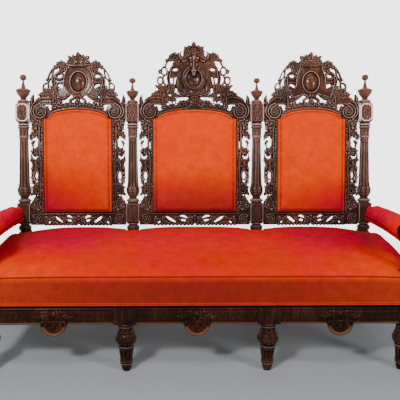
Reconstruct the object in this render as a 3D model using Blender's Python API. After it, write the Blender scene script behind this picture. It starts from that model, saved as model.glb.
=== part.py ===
"""A carved three-panel hall sofa, built as a joiner and an upholsterer would build it.

Metres, +Z up, the front faces -Y. The origin is on the floor, under the middle of the sofa.
"Along the back" means up the raked plane of the back posts, from the line where they meet the seat.
"""

import math

import bmesh
import bpy
from mathutils import Matrix, Vector

# Plan of the frame
OUTER_POST_X = 0.872
INNER_POST_X = 0.317
OUTER_LEG_X = 0.900
INNER_LEG_X = 0.309
FRAME_DEPTH = 0.560
SEAT_LINE = 0.485
RAKE = math.radians(8.9)

# Clearances
GAP = 0.0003
OVERRUN = 0.012

# Seat rails
RAIL_BOTTOM = 0.223
RAIL_SHOW = 0.077
RAIL_TACKING = 0.045
RAIL_THICKNESS = 0.036
TACKING_SETBACK = 0.012
WEB_REBATE = 0.020
WEB_LEDGE = 0.018
BEAD = 0.004
BACK_RAIL_THICKNESS = 0.030
CROSS_RAIL_THICKNESS = 0.030
TENON_THICKNESS = 0.012
TENON_LENGTH = 0.022
TENON_SHOULDER = 0.012
BRACE_REACH = 0.080
BRACE_WIDTH = 0.030
BRACE_HEIGHT = 0.060

# Front legs
CORNER_BLOCK = 0.070
INNER_BLOCK = 0.098
BLOCK_DEPTH = 0.072
LEG_BULB_RADIUS = 0.045

# Back posts
POST_WIDTH = 0.066
STILE_WIDTH = 0.058
LOWER_BLOCK_FOOT = 0.045
LOWER_BLOCK_HEIGHT = 0.100
UPPER_BLOCK_FOOT = 0.556
UPPER_BLOCK_HEIGHT = 0.103
COLUMN_RADIUS = 0.036
REAR_LEG_SPLAY = 0.060
REAR_FOOT_WIDTH = 0.044

# Finials
OUTER_FINIAL_HEIGHT = 0.140
INNER_FINIAL_HEIGHT = 0.122
OUTER_CUP_RADIUS = 0.039
INNER_CUP_RADIUS = 0.033
BALL_RADIUS = 0.016
PEG_RADIUS = 0.008
PEG_LENGTH = 0.024

# Back panels
PANEL_FOOT = 0.026
PANEL_THICKNESS = 0.030
PANEL_SETBACK = 0.006
STRIP_WIDTH = 0.071
STRIP_RELIEF = 0.012
BOTTOM_RAIL_HEIGHT = 0.067
SHOULDER_HEIGHT = 0.575
SHOULDER_WIDTH = 0.020
ARCH_RISE = 0.047
SIDE_CREST_TOP = 0.914
CENTRE_CREST_TOP = 0.962
CARTOUCHE_HALF_WIDTH = 0.048
CARTOUCHE_HALF_HEIGHT = 0.064
CARTOUCHE_DEPTH = 0.018
PANEL_TENON = 0.018
PANEL_TENON_THICKNESS = 0.010

# Upholstery of the back
BACK_PAD_DEPTH = 0.026
BACK_PAD_CROWN = 0.020
LINING_THICKNESS = 0.006

# Seat upholstery
SEAT_FRONT_Z = 0.441
SEAT_REAR_Z = 0.506
SEAT_CROWN = 0.026
SEAT_PROUD = 0.005
SEAT_ROLL = 0.014
BOXING_DRAW = 0.005

# Springing
WEB_WIDTH = 0.050
WEB_THICKNESS = 0.003
SPRING_RADIUS = 0.045
SPRING_WAIST = 0.032
SPRING_WIRE = 0.0022
LACING = 0.005

# Arms
ARM_REAR_X = 0.896
ARM_BOW = 0.012
ARM_WIDTH = 0.050
ARM_REAR_Z = 0.545
ARM_THICKNESS = 0.018
ARM_SUPPORT_TOP = 0.566
ARM_SCROLL_RADIUS = 0.048
ARM_SCROLL_FRONT = 0.022
ARM_SCROLL_REAR = 0.030
ARM_PAD_REAR_WIDTH = 0.062
ARM_PAD_FRONT_WIDTH = 0.092
ARM_PAD_REAR_HEIGHT = 0.080
ARM_PAD_FRONT_HEIGHT = 0.090
ARM_PAD_SEAM = 0.008
STUMP_WIDTH = 0.052
STUMP_ABOVE_SEAT = 0.014
SUPPORT_RADIUS = 0.030

# Shell pendants
PENDANT_RADIUS = 0.058
PENDANT_DEPTH = 0.016

# Counts
ROUND_SIDES = 10
FINIAL_SIDES = 8
PEG_SIDES = 8
HOLE_SIDES = 8
BALL_STEPS = 6
ARCH_STEPS = 8
PAD_OUTLINE_STEPS = 4
SEAT_CELLS_ACROSS = 16
SEAT_CELLS_DEEP = 6
ARM_STATIONS = 7
SPRING_COLUMNS = 3
SPRING_ROWS = 2
SPRING_TURNS = 3
POINTS_PER_TURN = 5
SHELL_RIBS = 7

# Turned profiles: radius and height, as shares of the piece's largest radius and its length
LEG_PROFILE_SHARES = (
    (0.40, 0.0), (0.44, 0.03), (0.52, 0.09), (0.50, 0.14), (0.64, 0.17), (0.64, 0.21), (0.58, 0.235),
    (0.73, 0.47), (0.66, 0.50), (0.80, 0.53), (0.95, 0.59), (1.0, 0.68), (0.94, 0.75), (0.66, 0.86),
    (0.62, 0.90), (0.76, 0.93), (0.76, 0.96), (0.66, 1.0),
)
COLUMN_PROFILE_SHARES = (
    (0.80, 0.0), (0.98, 0.025), (1.0, 0.045), (0.70, 0.07), (0.62, 0.085), (0.88, 0.13), (0.94, 0.18),
    (0.82, 0.245), (0.72, 0.26), (0.62, 0.81), (0.78, 0.825), (0.78, 0.84), (0.66, 0.86), (0.70, 0.92),
    (0.84, 0.945), (0.84, 0.965), (0.72, 1.0),
)
BASE_PROFILE_SHARES = (
    (0.70, 0.0), (0.94, 0.16), (1.0, 0.40), (0.80, 0.66), (0.66, 0.78), (0.90, 0.86), (0.90, 0.96),
    (0.78, 1.0),
)
CUP_PROFILE_SHARES = (
    (0.84, 0.0), (0.86, 0.05), (0.46, 0.09), (0.42, 0.13), (0.62, 0.26), (0.84, 0.40), (1.0, 0.44),
    (0.98, 0.47), (0.34, 0.52), (0.20, 0.60), (0.10, 0.68),
)
SUPPORT_PROFILE_SHARES = (
    (0.84, 0.0), (0.98, 0.08), (0.70, 0.20), (0.60, 0.26), (0.86, 0.42), (1.0, 0.56), (0.78, 0.72),
    (0.62, 0.80), (0.90, 0.88), (0.90, 0.95), (0.82, 1.0),
)

# Crest outline, from the post inwards and up to the middle: shares of the half width and of the height
SIDE_CREST_SHARES = (
    (1.0, 0.24), (0.95, 0.35), (0.86, 0.30), (0.84, 0.40), (0.78, 0.50), (0.70, 0.60), (0.62, 0.72),
    (0.50, 0.80), (0.42, 0.86), (0.28, 0.87), (0.22, 0.92), (0.12, 0.98), (0.0, 1.0),
)
CENTRE_CREST_SHARES = (
    (1.0, 0.20), (0.94, 0.31), (0.87, 0.27), (0.86, 0.36), (0.78, 0.46), (0.69, 0.55), (0.64, 0.68),
    (0.56, 0.80), (0.40, 0.86), (0.22, 0.85), (0.20, 0.92), (0.10, 0.98), (0.0, 1.0),
)
# Pierced holes of a crest: centre and half size, shares of the half width and of the height
CREST_HOLE_SHARES = ((0.20, 0.215, 0.10, 0.030), (0.60, 0.30, 0.075, 0.045), (0.47, 0.60, 0.05, 0.05))
CARTOUCHE_PLACE_SHARE = 0.55
CARTOUCHE_PROFILE_SHARES = (
    (1.0, 0.0), (1.0, 0.35), (0.92, 0.55), (0.80, 0.50), (0.74, 0.30), (0.60, 0.72), (0.34, 0.95),
)
# Pierced holes of a side strip and of a bottom rail, shares of the strip's length or width
STRIP_HOLE_SHARES = (0.22, 0.40, 0.62, 0.80)
RAIL_HOLE_SHARES = (-0.62, -0.24, 0.24, 0.62)
HOLE_WIDTH_SHARE = 0.15
HOLE_LENGTH_SHARE = 0.24

# Values worked out from the sizes above
TAN_RAKE = math.tan(RAKE)
COS_RAKE = math.cos(RAKE)
SHOW_TOP = RAIL_BOTTOM + RAIL_SHOW
RAIL_TOP = SHOW_TOP + RAIL_TACKING
HALF_POST = POST_WIDTH / 2
HALF_STILE = STILE_WIDTH / 2
PANEL_FRONT = -HALF_POST + PANEL_SETBACK
PANEL_REAR = PANEL_FRONT + PANEL_THICKNESS
RAIL_FACE = -BLOCK_DEPTH / 2 + BEAD
PENDANT_REAR = RAIL_FACE - BEAD - GAP
FRONT_MOST = PENDANT_REAR - PENDANT_DEPTH
REAR_MOST = FRAME_DEPTH + CENTRE_CREST_TOP * math.sin(RAKE) + PANEL_REAR * COS_RAKE
LEG_Y = -(FRONT_MOST + REAR_MOST) / 2
BACK_Y = LEG_Y + FRAME_DEPTH
STILE_Y = BACK_Y - (SEAT_LINE - RAIL_TOP) * TAN_RAKE
BACK = Matrix.Translation((0, BACK_Y, SEAT_LINE)) @ Matrix.Rotation(-RAKE, 4, "X")

WALNUT = ((0.085, 0.030, 0.018), 0.38)
DARK_WALNUT = ((0.060, 0.022, 0.014), 0.42)
BEECH = ((0.42, 0.27, 0.15), 0.62)
VELVET = ((0.78, 0.12, 0.02), 0.85)
JUTE = ((0.42, 0.33, 0.20), 0.90)
STEEL = ((0.33, 0.27, 0.22), 0.45)
LINEN = ((0.10, 0.07, 0.06), 0.90)


def clear_scene():
    for old in list(bpy.data.objects):
        bpy.data.objects.remove(old)


def material(name, look, metallic=0.0):
    made = bpy.data.materials.new(name)
    made.use_nodes = True
    shader = made.node_tree.nodes["Principled BSDF"]
    shader.inputs["Base Color"].default_value = (*look[0], 1)
    shader.inputs["Roughness"].default_value = look[1]
    shader.inputs["Metallic"].default_value = metallic
    made.diffuse_color = (*look[0], 1)
    return made


def make(name, shape, look=WALNUT, parent=None, place=(0, 0, 0), metallic=0.0):
    """An object from a bmesh, with its faces turned outwards and its own material."""
    bmesh.ops.recalc_face_normals(shape, faces=shape.faces)
    mesh = bpy.data.meshes.new(name)
    shape.to_mesh(mesh)
    shape.free()
    return place_mesh(name, mesh, look, parent, place, metallic)


def place_mesh(name, mesh, look=WALNUT, parent=None, place=(0, 0, 0), metallic=0.0):
    mesh.shade_smooth()
    mesh.set_sharp_from_angle(angle=math.radians(35))
    mesh.materials.clear()
    mesh.materials.append(material(name, look, metallic))
    piece = bpy.data.objects.new(name, mesh)
    bpy.context.collection.objects.link(piece)
    piece.parent = parent
    piece.location = place
    return piece


def combine(piece, other, operation):
    """A Boolean that stays on the piece. The other object becomes a hidden tool."""
    step = piece.modifiers.new(f"{operation.lower()} {other.name}", "BOOLEAN")
    step.operation = operation
    step.object = other
    step.solver = "EXACT"
    other.hide_render = True
    other.display_type = "WIRE"


def fuse(piece, other):
    combine(piece, other, "UNION")


def cut(piece, other):
    combine(piece, other, "DIFFERENCE")


def baked(piece):
    """The finished mesh of a piece with its modifiers done. The piece and its tools are removed."""
    bpy.context.view_layer.update()
    tools = [step.object for step in piece.modifiers]
    mesh = bpy.data.meshes.new_from_object(piece.evaluated_get(bpy.context.evaluated_depsgraph_get()))
    for used in tools + [piece]:
        bpy.data.objects.remove(used)
    return mesh


def loft(rings):
    """A closed skin over rings of points, each ring with the same number of points."""
    shape = bmesh.new()
    loops = [[shape.verts.new(point) for point in ring] for ring in rings]
    count = len(loops[0])
    for lower, upper in zip(loops, loops[1:]):
        for i in range(count):
            j = (i + 1) % count
            shape.faces.new((lower[i], lower[j], upper[j], upper[i]))
    shape.faces.new(loops[0])
    shape.faces.new(loops[-1])
    return shape


def slab(outline, front, rear):
    """A board in the plane of the back: an outline of (x, height) from one depth to another."""
    return loft([[(x, depth, height) for x, height in outline] for depth in (front, rear)])


def bar(section, left, right):
    """A bar along X with a section of (y, z)."""
    return loft([[(x, y, z) for y, z in section] for x in (left, right)])


def block(low, high):
    return bar(((low[1], low[2]), (high[1], low[2]), (high[1], high[2]), (low[1], high[2])), low[0], high[0])


def turned(profile, sides=ROUND_SIDES):
    """A turned piece about Z from (radius, height) points, closed at both ends by a flat."""
    shape = bmesh.new()
    points = [(0, profile[0][1])] + list(profile) + [(0, profile[-1][1])]
    line = [shape.verts.new((radius, 0, height)) for radius, height in points]
    edges = [shape.edges.new(pair) for pair in zip(line, line[1:])]
    bmesh.ops.spin(shape, geom=line + edges, cent=(0, 0, 0), axis=(0, 0, 1), angle=2 * math.pi, steps=sides)
    bmesh.ops.remove_doubles(shape, verts=shape.verts, dist=GAP / 10)
    return shape


def profile(shares, radius, low, high):
    return [(r * radius, low + t * (high - low)) for r, t in shares]


def oval(centre, half_width, half_height, sides):
    turns = [2 * math.pi * i / sides for i in range(sides)]
    return [(centre[0] + half_width * math.cos(a), centre[1] + half_height * math.sin(a)) for a in turns]


def grown(low, high, margin):
    return tuple(v - margin for v in low), tuple(v + margin for v in high)


def leg_block(width, outward):
    """The square head of a front leg: full below the upholstery, set back where the velvet wraps it."""
    half = width / 2
    rear = BLOCK_DEPTH / 2
    left = -half + (TACKING_SETBACK if outward < 0 else 0)
    right = half - (TACKING_SETBACK if outward > 0 else 0)
    head = make("head", block((-half, -rear, RAIL_BOTTOM), (half, rear, SHOW_TOP)))
    neck_low = (left, -rear + TACKING_SETBACK, SHOW_TOP - OVERRUN)
    fuse(head, make("neck", block(neck_low, (right, rear, RAIL_TOP))))
    return head


def front_leg(name, x, width, outward):
    """One front leg: a turned and bulbed shaft under a square head."""
    head = leg_block(width, outward)
    shaft = profile(LEG_PROFILE_SHARES, LEG_BULB_RADIUS, 0, RAIL_BOTTOM)
    shaft.append((shaft[-1][0], RAIL_BOTTOM + OVERRUN))
    fuse(head, make("shaft", turned(shaft)))
    return place_mesh(name, baked(head), WALNUT, None, (x, LEG_Y, 0))


def rail_section(front, rear, face_sign=1):
    """An L section in (across, z): show face low and proud, tacking edge set back, a ledge for webs."""
    return (
        (front, RAIL_BOTTOM),
        (front - face_sign * BEAD, RAIL_BOTTOM + BEAD / 2),
        (front - face_sign * BEAD, RAIL_BOTTOM + 2 * BEAD),
        (front, RAIL_BOTTOM + 3 * BEAD),
        (front, SHOW_TOP - 3 * BEAD),
        (front - face_sign * BEAD / 2, SHOW_TOP - 2 * BEAD),
        (front - face_sign * BEAD / 2, SHOW_TOP - BEAD),
        (front, SHOW_TOP),
        (front + face_sign * (TACKING_SETBACK - BEAD), SHOW_TOP),
        (front + face_sign * (TACKING_SETBACK - BEAD), RAIL_TOP),
        (rear, RAIL_TOP),
        (rear, RAIL_BOTTOM + WEB_REBATE),
        (rear - face_sign * WEB_LEDGE, RAIL_BOTTOM + WEB_REBATE),
        (rear - face_sign * WEB_LEDGE, RAIL_BOTTOM),
    )


def tenon_z():
    return RAIL_BOTTOM + WEB_REBATE + TENON_SHOULDER, RAIL_TOP - TENON_SHOULDER


def mortised(rail, host, low, high):
    """A tenon fused to the rail, and the same box with clearance cut from the piece that takes it."""
    fuse(rail, make(f"{rail.name} tenon in {host.name}", block(low, high)))
    cut(host, make(f"{host.name} mortise for {rail.name}", block(*grown(low, high, GAP))))


def front_rail(name, left_leg, left_half, right_leg, right_half):
    left = left_leg.location.x + left_half + GAP
    right = right_leg.location.x - right_half - GAP
    front = LEG_Y + RAIL_FACE
    rear = front + RAIL_THICKNESS
    rail = make(name, bar(rail_section(front, rear), left, right), WALNUT)
    middle = front + (TACKING_SETBACK + RAIL_THICKNESS) / 2
    bottom, top = tenon_z()
    half = TENON_THICKNESS / 2
    for host, start, end in (
        (left_leg, left - TENON_LENGTH, left + OVERRUN),
        (right_leg, right - OVERRUN, right + TENON_LENGTH),
    ):
        mortised(rail, host, (start, middle - half, bottom), (end, middle + half, top))
    return rail


def side_rail(name, leg, post, side):
    """A side rail runs from the corner leg's block back to the outer post, a little inwards."""
    front_y = LEG_Y + BLOCK_DEPTH / 2 + GAP
    rear_y = STILE_Y - HALF_STILE - GAP
    front_x = side * (OUTER_LEG_X + CORNER_BLOCK / 2 - BEAD)
    rear_x = side * (OUTER_POST_X + HALF_STILE - BEAD)
    ends = []
    for x, y in ((front_x, front_y), (rear_x, rear_y)):
        ends.append([(across, y, z) for across, z in rail_section(x, x - side * RAIL_THICKNESS, -side)])
    rail = make(name, loft(ends), WALNUT)
    bottom, top = tenon_z()
    half = TENON_THICKNESS / 2
    inset = side * (TACKING_SETBACK + RAIL_THICKNESS) / 2
    for host, x, start, end in (
        (leg, front_x - inset, front_y - TENON_LENGTH, front_y + OVERRUN),
        (post, rear_x - inset, rear_y - OVERRUN, rear_y + TENON_LENGTH),
    ):
        mortised(rail, host, (x - half, start, bottom), (x + half, end, top))
    return rail


def back_rail(name, left_post, right_post):
    left = left_post.location.x + HALF_STILE + GAP
    right = right_post.location.x - HALF_STILE - GAP
    front = STILE_Y - BACK_RAIL_THICKNESS / 2
    rear = STILE_Y + BACK_RAIL_THICKNESS / 2
    ledge = RAIL_BOTTOM + WEB_REBATE
    section = (
        (front, ledge), (front + WEB_LEDGE, ledge), (front + WEB_LEDGE, RAIL_BOTTOM),
        (rear, RAIL_BOTTOM), (rear, RAIL_TOP), (front, RAIL_TOP),
    )
    rail = make(name, bar(section, left, right), BEECH)
    bottom, top = tenon_z()
    half = TENON_THICKNESS / 2
    for host, start, end in (
        (left_post, left - TENON_LENGTH, left + OVERRUN),
        (right_post, right - OVERRUN, right + TENON_LENGTH),
    ):
        mortised(rail, host, (start, STILE_Y - half, bottom), (end, STILE_Y + half, top))
    return rail


def cross_rail(name, leg, post):
    """A rail from an inner leg to the inner post behind it. The webs pass under it and the lacing over it."""
    half = CROSS_RAIL_THICKNESS / 2
    front = LEG_Y + BLOCK_DEPTH / 2 + GAP
    rear = STILE_Y - HALF_STILE - GAP
    low = RAIL_BOTTOM + WEB_REBATE
    high = RAIL_TOP - LACING - GAP
    ends = []
    for x, y in ((leg.location.x, front), (post.location.x, rear)):
        ends.append([(x - half, y, low), (x + half, y, low), (x + half, y, high), (x - half, y, high)])
    rail = make(name, loft(ends), BEECH)
    bottom, top = tenon_z()
    thin = TENON_THICKNESS / 2
    for host, start, end in (
        (leg, front - TENON_LENGTH, front + OVERRUN),
        (post, rear - OVERRUN, rear + TENON_LENGTH),
    ):
        x = host.location.x
        mortised(rail, host, (x - thin, start, bottom), (x + thin, end, top))
    return rail


def side_rail_inner_x(y):
    """The inner face of a side rail at a depth, as a distance from the middle."""
    front_y = LEG_Y + BLOCK_DEPTH / 2
    rear_y = STILE_Y - HALF_STILE
    share = (y - front_y) / (rear_y - front_y)
    front_x = OUTER_LEG_X + CORNER_BLOCK / 2
    rear_x = OUTER_POST_X + HALF_STILE
    return front_x + share * (rear_x - front_x) - BEAD - RAIL_THICKNESS


def corner_brace(name, side, wall_y, inwards):
    """A glued brace across a seat corner, from the front or back rail to the side rail."""
    y = wall_y + inwards * GAP
    near = y + inwards * BRACE_REACH
    far = near + inwards * BRACE_WIDTH
    plan = (
        (side_rail_inner_x(y) - GAP - BRACE_REACH, y),
        (side_rail_inner_x(y) - GAP - BRACE_REACH - BRACE_WIDTH, y),
        (side_rail_inner_x(far) - 2 * GAP, far),
        (side_rail_inner_x(near) - 2 * GAP, near),
    )
    low = RAIL_BOTTOM + WEB_REBATE + TENON_SHOULDER
    rings = [[(side * x, y, z) for x, y in plan] for z in (low, low + BRACE_HEIGHT)]
    return make(name, loft(rings), BEECH)


def lattice(x_edges, y_edges, is_filled, low, high):
    """A flat net: cells between the edges that are filled, from one height to another."""
    shape = bmesh.new()
    corners = {}

    def corner(i, j, z):
        if (i, j, z) not in corners:
            corners[i, j, z] = shape.verts.new((x_edges[i], y_edges[j], z))
        return corners[i, j, z]

    columns = range(len(x_edges) - 1)
    rows = range(len(y_edges) - 1)
    filled = {(i, j) for i in columns for j in rows if is_filled(i, j)}
    for i, j in filled:
        around = ((i, j), (i + 1, j), (i + 1, j + 1), (i, j + 1))
        shape.faces.new([corner(*at, low) for at in reversed(around)])
        shape.faces.new([corner(*at, high) for at in around])
        sides = zip(around, around[1:] + around[:1])
        for step, (start, end) in zip(((0, -1), (1, 0), (0, 1), (-1, 0)), sides):
            if (i + step[0], j + step[1]) not in filled:
                wall = ((start, low), (end, low), (end, high), (start, high))
                shape.faces.new([corner(*at, z) for at, z in wall])
    return shape


def spring_places():
    """Where springs stand: columns share each bay, rows share the depth between the rails."""
    front = LEG_Y + BLOCK_DEPTH / 2
    rear = STILE_Y - HALF_STILE
    outside = side_rail_inner_x(front)
    bays = ((-outside, -INNER_POST_X), (-INNER_POST_X, INNER_POST_X), (INNER_POST_X, outside))
    xs = []
    for left, right in bays:
        step = (right - left) / SPRING_COLUMNS
        xs += [left + step * (i + 0.5) for i in range(SPRING_COLUMNS)]
    step = (rear - front) / SPRING_ROWS
    ys = [front + step * (j + 0.5) for j in range(SPRING_ROWS)]
    return xs, ys


def with_middles(places):
    """The places and, between each two neighbours, the one halfway."""
    middles = [(a + b) / 2 for a, b in zip(places, places[1:])]
    return sorted(places + middles)


def webbing():
    """Crossed webs in the rebate under the rails: along the springs, and between their rows."""
    xs, ys = spring_places()
    half = WEB_WIDTH / 2
    front = LEG_Y + RAIL_FACE + RAIL_THICKNESS - WEB_LEDGE + GAP
    rear = STILE_Y - BACK_RAIL_THICKNESS / 2 + WEB_LEDGE - GAP
    end = side_rail_inner_x(max(ys) + half) + WEB_LEDGE - 2 * GAP
    x_edges = [-end] + [x + side * half for x in xs for side in (-1, 1)] + [end]
    y_edges = [front] + [y + side * half for y in with_middles(ys) for side in (-1, 1)] + [rear]
    top = RAIL_BOTTOM + WEB_REBATE - GAP
    shape = lattice(x_edges, y_edges, lambda i, j: i % 2 == 1 or j % 2 == 1, top - WEB_THICKNESS, top)
    return make("seat_webbing", shape, JUTE)


def coil(centre, low, high):
    """One hourglass spring as a curve, from its lowest ring to its top ring."""
    curve = bpy.data.curves.new("coil", "CURVE")
    curve.dimensions = "3D"
    curve.bevel_depth = SPRING_WIRE
    curve.bevel_resolution = 0
    curve.use_fill_caps = True
    line = curve.splines.new("POLY")
    steps = SPRING_TURNS * POINTS_PER_TURN
    line.points.add(steps)
    for i in range(steps + 1):
        share = i / steps
        radius = SPRING_WAIST + (SPRING_RADIUS - SPRING_WAIST) * (2 * share - 1) ** 2
        angle = 2 * math.pi * i / POINTS_PER_TURN
        z = low + SPRING_WIRE + share * (high - low - 2 * SPRING_WIRE)
        line.points[i].co = (centre[0] + radius * math.cos(angle), centre[1] + radius * math.sin(angle), z, 1)
    wire = bpy.data.objects.new("coil", curve)
    bpy.context.collection.objects.link(wire)
    return wire


def springs():
    """The springs, lashed to one another at the top by a net of lacing."""
    xs, ys = spring_places()
    low = RAIL_BOTTOM + WEB_REBATE
    high = RAIL_TOP
    rows = with_middles(ys)
    half = LACING / 2
    reach = SPRING_RADIUS + SPRING_WIRE
    x_edges = [xs[0] - reach] + [x + side * half for x in xs for side in (-1, 1)] + [xs[-1] + reach]
    y_edges = [ys[0] - reach] + [y + side * half for y in rows for side in (-1, 1)] + [ys[-1] + reach]
    net = lattice(x_edges, y_edges, lambda i, j: i % 2 == 1 or j % 2 == 1, high - LACING, high)
    piece = make("lashed_springs", net, STEEL, metallic=0.6)
    for x in xs:
        for y in ys:
            tool = bpy.data.objects.new("coil", baked(coil((x, y), low, high - half)))
            bpy.context.collection.objects.link(tool)
            fuse(piece, tool)
    return piece


def seat_half_width(share):
    front = OUTER_LEG_X + CORNER_BLOCK / 2 + SEAT_PROUD
    rear = OUTER_POST_X + HALF_POST + SEAT_PROUD
    return front + share * (rear - front)


def seat_top(across, share):
    """Height of the seat's top. Across runs from -1 to 1, and share from the front edge to the rear."""
    rise = SEAT_REAR_Z - SEAT_FRONT_Z
    edge = SEAT_FRONT_Z + rise * math.sin(share * math.pi / 2)
    dome = (1 - across**6) * math.sin(math.pi * min(1, share + 0.04) ** 0.8)
    return edge + SEAT_CROWN * dome


def seat_point(across, share, inset, z):
    front = LEG_Y - BLOCK_DEPTH / 2 - SEAT_PROUD
    rear = STILE_Y + BACK_RAIL_THICKNESS / 2
    half = seat_half_width(share) - inset
    y = front + inset + share * (rear - front - 2 * inset)
    return Vector((across * half, y, z))


def seat_cushion(posts, supports):
    """The stuffed seat: crowned top, boxing drawn in between its seams, skirts down the rails."""
    shape = bmesh.new()
    across = [2 * i / SEAT_CELLS_ACROSS - 1 for i in range(SEAT_CELLS_ACROSS + 1)]
    deep = [j / SEAT_CELLS_DEEP for j in range(SEAT_CELLS_DEEP + 1)]
    top = [[shape.verts.new(seat_point(a, s, SEAT_ROLL / 3, seat_top(a, s))) for a in across] for s in deep]
    for j in range(SEAT_CELLS_DEEP):
        for i in range(SEAT_CELLS_ACROSS):
            shape.faces.new((top[j][i], top[j][i + 1], top[j + 1][i + 1], top[j + 1][i]))
    rim = [(a, 0) for a in across] + [(1, s) for s in deep[1:]]
    rim += [(a, 1) for a in reversed(across[:-1])] + [(-1, s) for s in reversed(deep[1:-1])]
    above = top[0] + [row[-1] for row in top[1:]] + top[-1][-2::-1] + [row[0] for row in top[-2:0:-1]]
    for inset, drop in ((0, SEAT_ROLL), (BOXING_DRAW, None), (0, SHOW_TOP + SEAT_ROLL), (0, SHOW_TOP)):
        ring = []
        for a, s in rim:
            seam = seat_top(a, s) - SEAT_ROLL
            z = seam if drop == SEAT_ROLL else (seam + SHOW_TOP) / 2 if drop is None else drop
            ring.append(shape.verts.new(seat_point(a, s, inset, z)))
        for i in range(len(rim)):
            j = (i + 1) % len(rim)
            shape.faces.new((above[i], ring[i], ring[j], above[j]))
        above = ring
    shape.faces.new(above)
    bmesh.ops.triangulate(shape, faces=shape.faces)
    cushion = make("seat_cushion", shape, VELVET)
    past = BACK_Y + POST_WIDTH
    rail_front = LEG_Y - BLOCK_DEPTH / 2 + TACKING_SETBACK - GAP
    front_half = OUTER_LEG_X + CORNER_BLOCK / 2 - TACKING_SETBACK + GAP
    rear_half = OUTER_POST_X + HALF_STILE - TACKING_SETBACK + GAP
    plan = (
        (-front_half, rail_front), (front_half, rail_front), (front_half, LEG_Y + BLOCK_DEPTH / 2 + GAP),
        (rear_half, STILE_Y - HALF_STILE), (rear_half, past), (-rear_half, past),
        (-rear_half, STILE_Y - HALF_STILE), (-front_half, LEG_Y + BLOCK_DEPTH / 2 + GAP),
    )
    under = loft([[(x, y, z) for x, y in plan] for z in (SHOW_TOP - OVERRUN, RAIL_TOP + GAP)])
    cut(cushion, make("space for the rails", under))
    reach = COLUMN_RADIUS + GAP
    for post in posts:
        left, right = -reach, reach
        if post.location.x < -INNER_POST_X:
            left -= POST_WIDTH
        if post.location.x > INNER_POST_X:
            right += POST_WIDTH
        notch = block((left, -reach, -SEAT_LINE), (right, POST_WIDTH * 2, LOWER_BLOCK_FOOT))
        cut(cushion, make(f"notch for {post.name}", notch, parent=post.parent, place=post.location))
    half = STUMP_WIDTH / 2 + GAP
    for support in supports:
        hole = block((-half, -half, RAIL_TOP - OVERRUN), (half, half, SEAT_REAR_Z + OVERRUN))
        cut(cushion, make(f"hole for {support.name}", hole, place=support.location))
    return cushion


def post_form():
    """One back post in the plane of the back: rear leg, stile, vase foot, blocks and column."""
    to_back = BACK.inverted()
    foot = REAR_FOOT_WIDTH / 2
    stations = (
        (STILE_Y + REAR_LEG_SPLAY, 0, foot),
        (STILE_Y + REAR_LEG_SPLAY / 3, RAIL_BOTTOM / 2, (foot + HALF_STILE) / 2),
        (STILE_Y, RAIL_BOTTOM, HALF_STILE),
        (STILE_Y, RAIL_TOP, HALF_STILE),
        (BACK_Y - GAP * TAN_RAKE, SEAT_LINE - GAP, HALF_STILE),
    )
    rings = []
    for y, z, half in stations:
        corners = ((-half, y - half), (half, y - half), (half, y + half), (-half, y + half))
        rings.append([to_back @ Vector((x, across, z)) for x, across in corners])
    post = make("post form", loft(rings))
    lower_top = LOWER_BLOCK_FOOT + LOWER_BLOCK_HEIGHT
    upper_top = UPPER_BLOCK_FOOT + UPPER_BLOCK_HEIGHT
    line = [(COLUMN_RADIUS * BASE_PROFILE_SHARES[0][0], -OVERRUN)]
    line += profile(BASE_PROFILE_SHARES, COLUMN_RADIUS, 0, LOWER_BLOCK_FOOT)
    line += profile(COLUMN_PROFILE_SHARES, COLUMN_RADIUS, lower_top, UPPER_BLOCK_FOOT)
    line.append((COLUMN_RADIUS * COLUMN_PROFILE_SHARES[-1][0], UPPER_BLOCK_FOOT + OVERRUN))
    fuse(post, make("column", turned(line)))
    for low, high in ((LOWER_BLOCK_FOOT, lower_top), (UPPER_BLOCK_FOOT, upper_top)):
        fuse(post, make("square", block((-HALF_POST, -HALF_POST, low), (HALF_POST, HALF_POST, high))))
    bore = [(PEG_RADIUS + GAP, upper_top - PEG_LENGTH - GAP), (PEG_RADIUS + GAP, upper_top + OVERRUN)]
    cut(post, make("bore", turned(bore, FINIAL_SIDES)))
    return baked(post)


def finial(name, post, height, cup_radius):
    """A turned cup, spire and ball, with a peg that drops into the post's top."""
    foot = UPPER_BLOCK_FOOT + UPPER_BLOCK_HEIGHT + GAP
    ball = foot + height - BALL_RADIUS
    line = [(PEG_RADIUS, foot - PEG_LENGTH), (PEG_RADIUS, foot)]
    line += profile(CUP_PROFILE_SHARES, cup_radius, foot, foot + height)
    for i in range(1, BALL_STEPS):
        angle = math.pi * i / BALL_STEPS
        line.append((BALL_RADIUS * math.sin(angle), ball - BALL_RADIUS * math.cos(angle)))
    return make(name, turned(line, FINIAL_SIDES), WALNUT, post.parent, post.location)


def arch_height(x, half_width, margin=0.0):
    """The pad's top edge: a flat shoulder at each side, and between them half an ellipse."""
    half_arch = half_width - SHOULDER_WIDTH
    if abs(x) >= half_arch:
        return SHOULDER_HEIGHT + margin
    return SHOULDER_HEIGHT + margin + ARCH_RISE * math.sqrt(1 - (x / half_arch) ** 2)


def arch_xs(half_width):
    """Places across an arch, closer together near its steep ends."""
    half_arch = half_width - SHOULDER_WIDTH
    inner = [half_arch * math.cos(math.pi * i / ARCH_STEPS) for i in range(ARCH_STEPS + 1)]
    return [half_width] + inner + [-half_width]


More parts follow.
